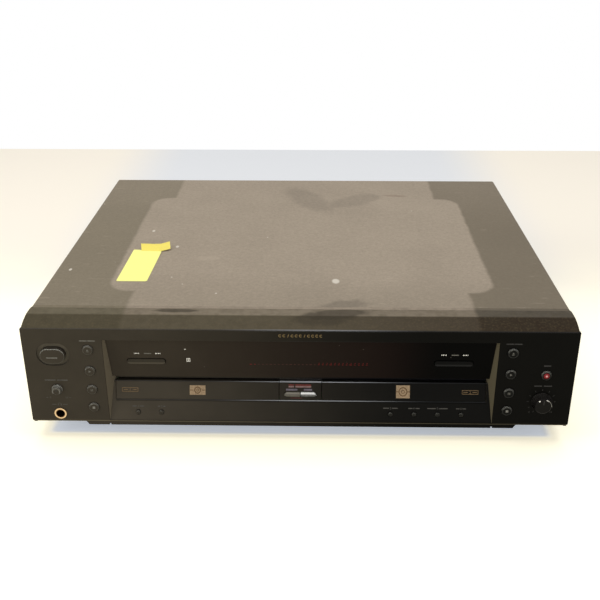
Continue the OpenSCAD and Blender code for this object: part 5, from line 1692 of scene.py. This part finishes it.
@dataclass
class SeamDust:
    """Dust that lies over the gap between the brow and the cover. Millimetres."""

    reach: float = 2.1
    clear: float = 0.012
    toe_drop: float = 0.44
    root_drop: float = 0.95
    toe_t: float = 0.03
    end: float = 1.5

    def build(self) -> None:
        """Makes the low ramp of dust from the brow up to the cover."""
        cover_low, cover_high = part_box("top_cover")
        panel_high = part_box("front_panel")[1]
        wide = cover_high[0] - cover_low[0] - 2 * self.end * MM
        front = panel_high[1] - self.reach * MM
        back = cover_low[1] - self.clear * MM
        foot = panel_high[2] - self.root_drop * MM
        toe = panel_high[2] - self.toe_drop * MM
        top = cover_high[2] - self.clear * MM
        bm = bmesh.new()
        middle = Vector(((cover_low[0] + cover_high[0]) / 2, (front + back) / 2, (foot + top) / 2))
        size = Matrix.Diagonal((wide, back - front, top - foot, 1.0))
        bmesh.ops.create_cube(bm, size=1.0, matrix=Matrix.Translation(middle) @ size)
        nose = [v for v in bm.verts if v.co.y < middle.y]
        upper = [v for v in nose if v.co.z > middle.z]
        lower = [v for v in nose if v.co.z < middle.z]
        bmesh.ops.translate(bm, verts=upper, vec=(0.0, 0.0, toe - top))
        bmesh.ops.translate(bm, verts=lower, vec=(0.0, 0.0, toe - self.toe_t * MM - foot))
        place_piece("seam_dust", bm, SeamDustFinish().build("seam_dust"), "cabinet")


@dataclass
class SoftBox:
    """A lamp with a large even face."""

    name: str
    place: tuple
    aim: tuple
    wide: float
    high: float
    power: float
    colour: Colour = (1.0, 1.0, 1.0)

    def build(self) -> None:
        """Hangs the lamp and points it."""
        light = bpy.data.lights.new(self.name, "AREA")
        light.shape = "RECTANGLE"
        light.size = self.wide
        light.size_y = self.high
        light.energy = self.power
        light.color = self.colour
        obj = bpy.data.objects.new(self.name, light)
        way = Vector(self.aim) - Vector(self.place)
        turn = way.to_track_quat("-Z", "Y").to_matrix().to_4x4()
        obj.matrix_world = Matrix.Translation(self.place) @ turn
        bpy.context.scene.collection.objects.link(obj)


@dataclass
class StudioStage:
    """Pale table, white surroundings and soft lamps."""

    table_half: float = 2.2
    table_front: float = -1.6
    table_back: float = 0.69
    sky: float = 0.42
    lamps: tuple = (
        SoftBox("overhead", (0.0, 0.1, 1.7), (0.0, 0.0, 0.1), wide=2.0, high=1.4, power=18.5),
        SoftBox("left_window", (-1.3, -0.75, 0.8), (-0.1, -0.1, 0.05), wide=0.6, high=0.7, power=5.0,
                colour=(1.0, 0.95, 0.86)),
        SoftBox("low_fill", (0.0, -1.35, 0.34), (0.0, -0.2, 0.0), wide=1.4, high=0.4, power=5.5),
    )

    def build(self) -> None:
        """Builds the table, the lamps and the world."""
        self.table()
        self.world()
        for lamp in self.lamps:
            lamp.build()

    def table(self) -> None:
        """A flat table whose far edge is where the white starts."""
        bm = bmesh.new()
        middle = Matrix.Translation((0.0, (self.table_front + self.table_back) / 2, 0.0))
        size = Matrix.Diagonal((2 * self.table_half, self.table_back - self.table_front, 1.0, 1.0))
        bmesh.ops.create_grid(bm, x_segments=1, y_segments=1, size=0.5, matrix=middle @ size)
        obj = mesh_object("table", bm, FloorFinish().build("table"))

    def world(self) -> None:
        """White to the camera and in reflections, softer as light."""
        world = bpy.data.worlds.new("studio")
        bpy.context.scene.world = world
        world.use_nodes = True
        tree = world.node_tree
        tree.nodes.clear()
        strength = tree.nodes.new("ShaderNodeMapRange")
        tree.links.new(seen_share(tree), strength.inputs[0])
        strength.inputs[3].default_value = self.sky
        strength.inputs[4].default_value = 1.0
        ground = tree.nodes.new("ShaderNodeBackground")
        ground.inputs[0].default_value = (1.0, 1.0, 1.0, 1.0)
        tree.links.new(strength.outputs[0], ground.inputs[1])
        output = tree.nodes.new("ShaderNodeOutputWorld")
        tree.links.new(ground.outputs[0], output.inputs[0])


@dataclass
class PhotoCamera:
    """The photograph's camera, in metres and radians, row frame."""

    place: tuple = (0.0126504, -0.779918, 0.404854)
    yaw: float = -0.0194673
    pitch: float = 0.4382722
    roll: float = -0.0014676
    lens: float = 52.593
    sensor: float = 36.0
    near: float = 0.01

    def build(self) -> None:
        """Sets up the scene's camera."""
        ahead = Vector((math.sin(self.yaw) * math.cos(self.pitch),
                        math.cos(self.yaw) * math.cos(self.pitch), -math.sin(self.pitch)))
        level = Vector((math.cos(self.yaw), -math.sin(self.yaw), 0.0))
        over = level.cross(ahead)
        right = math.cos(self.roll) * level + math.sin(self.roll) * over
        upward = math.cos(self.roll) * over - math.sin(self.roll) * level
        data = bpy.data.cameras.new("photo_camera")
        data.sensor_width = self.sensor
        data.lens = self.lens
        data.clip_start = self.near
        camera = bpy.data.objects.new("photo_camera", data)
        turn = Matrix((right, upward, -ahead)).transposed().to_4x4()
        camera.matrix_world = Matrix.Translation(self.place) @ turn
        bpy.context.scene.collection.objects.link(camera)
        bpy.context.scene.camera = camera


def main() -> None:
    """Builds the scene in order."""
    logging.basicConfig(level=logging.INFO, format="%(message)s")
    bpy.context.scene.view_settings.view_transform = "Standard"
    PhotoCamera().build()
    StudioStage().build()
    Wardrobe().dress()
    faces = FrontFaces()
    TransportKeys().build()
    PlateLegends(faces).build()
    WindowLegends(faces).build()
    FasciaLegends(faces).build()
    LevelKnobs().build()
    RearRings().build()
    SeamDust().build()
    PaperTag().build()


if __name__ == "__main__":
    main()
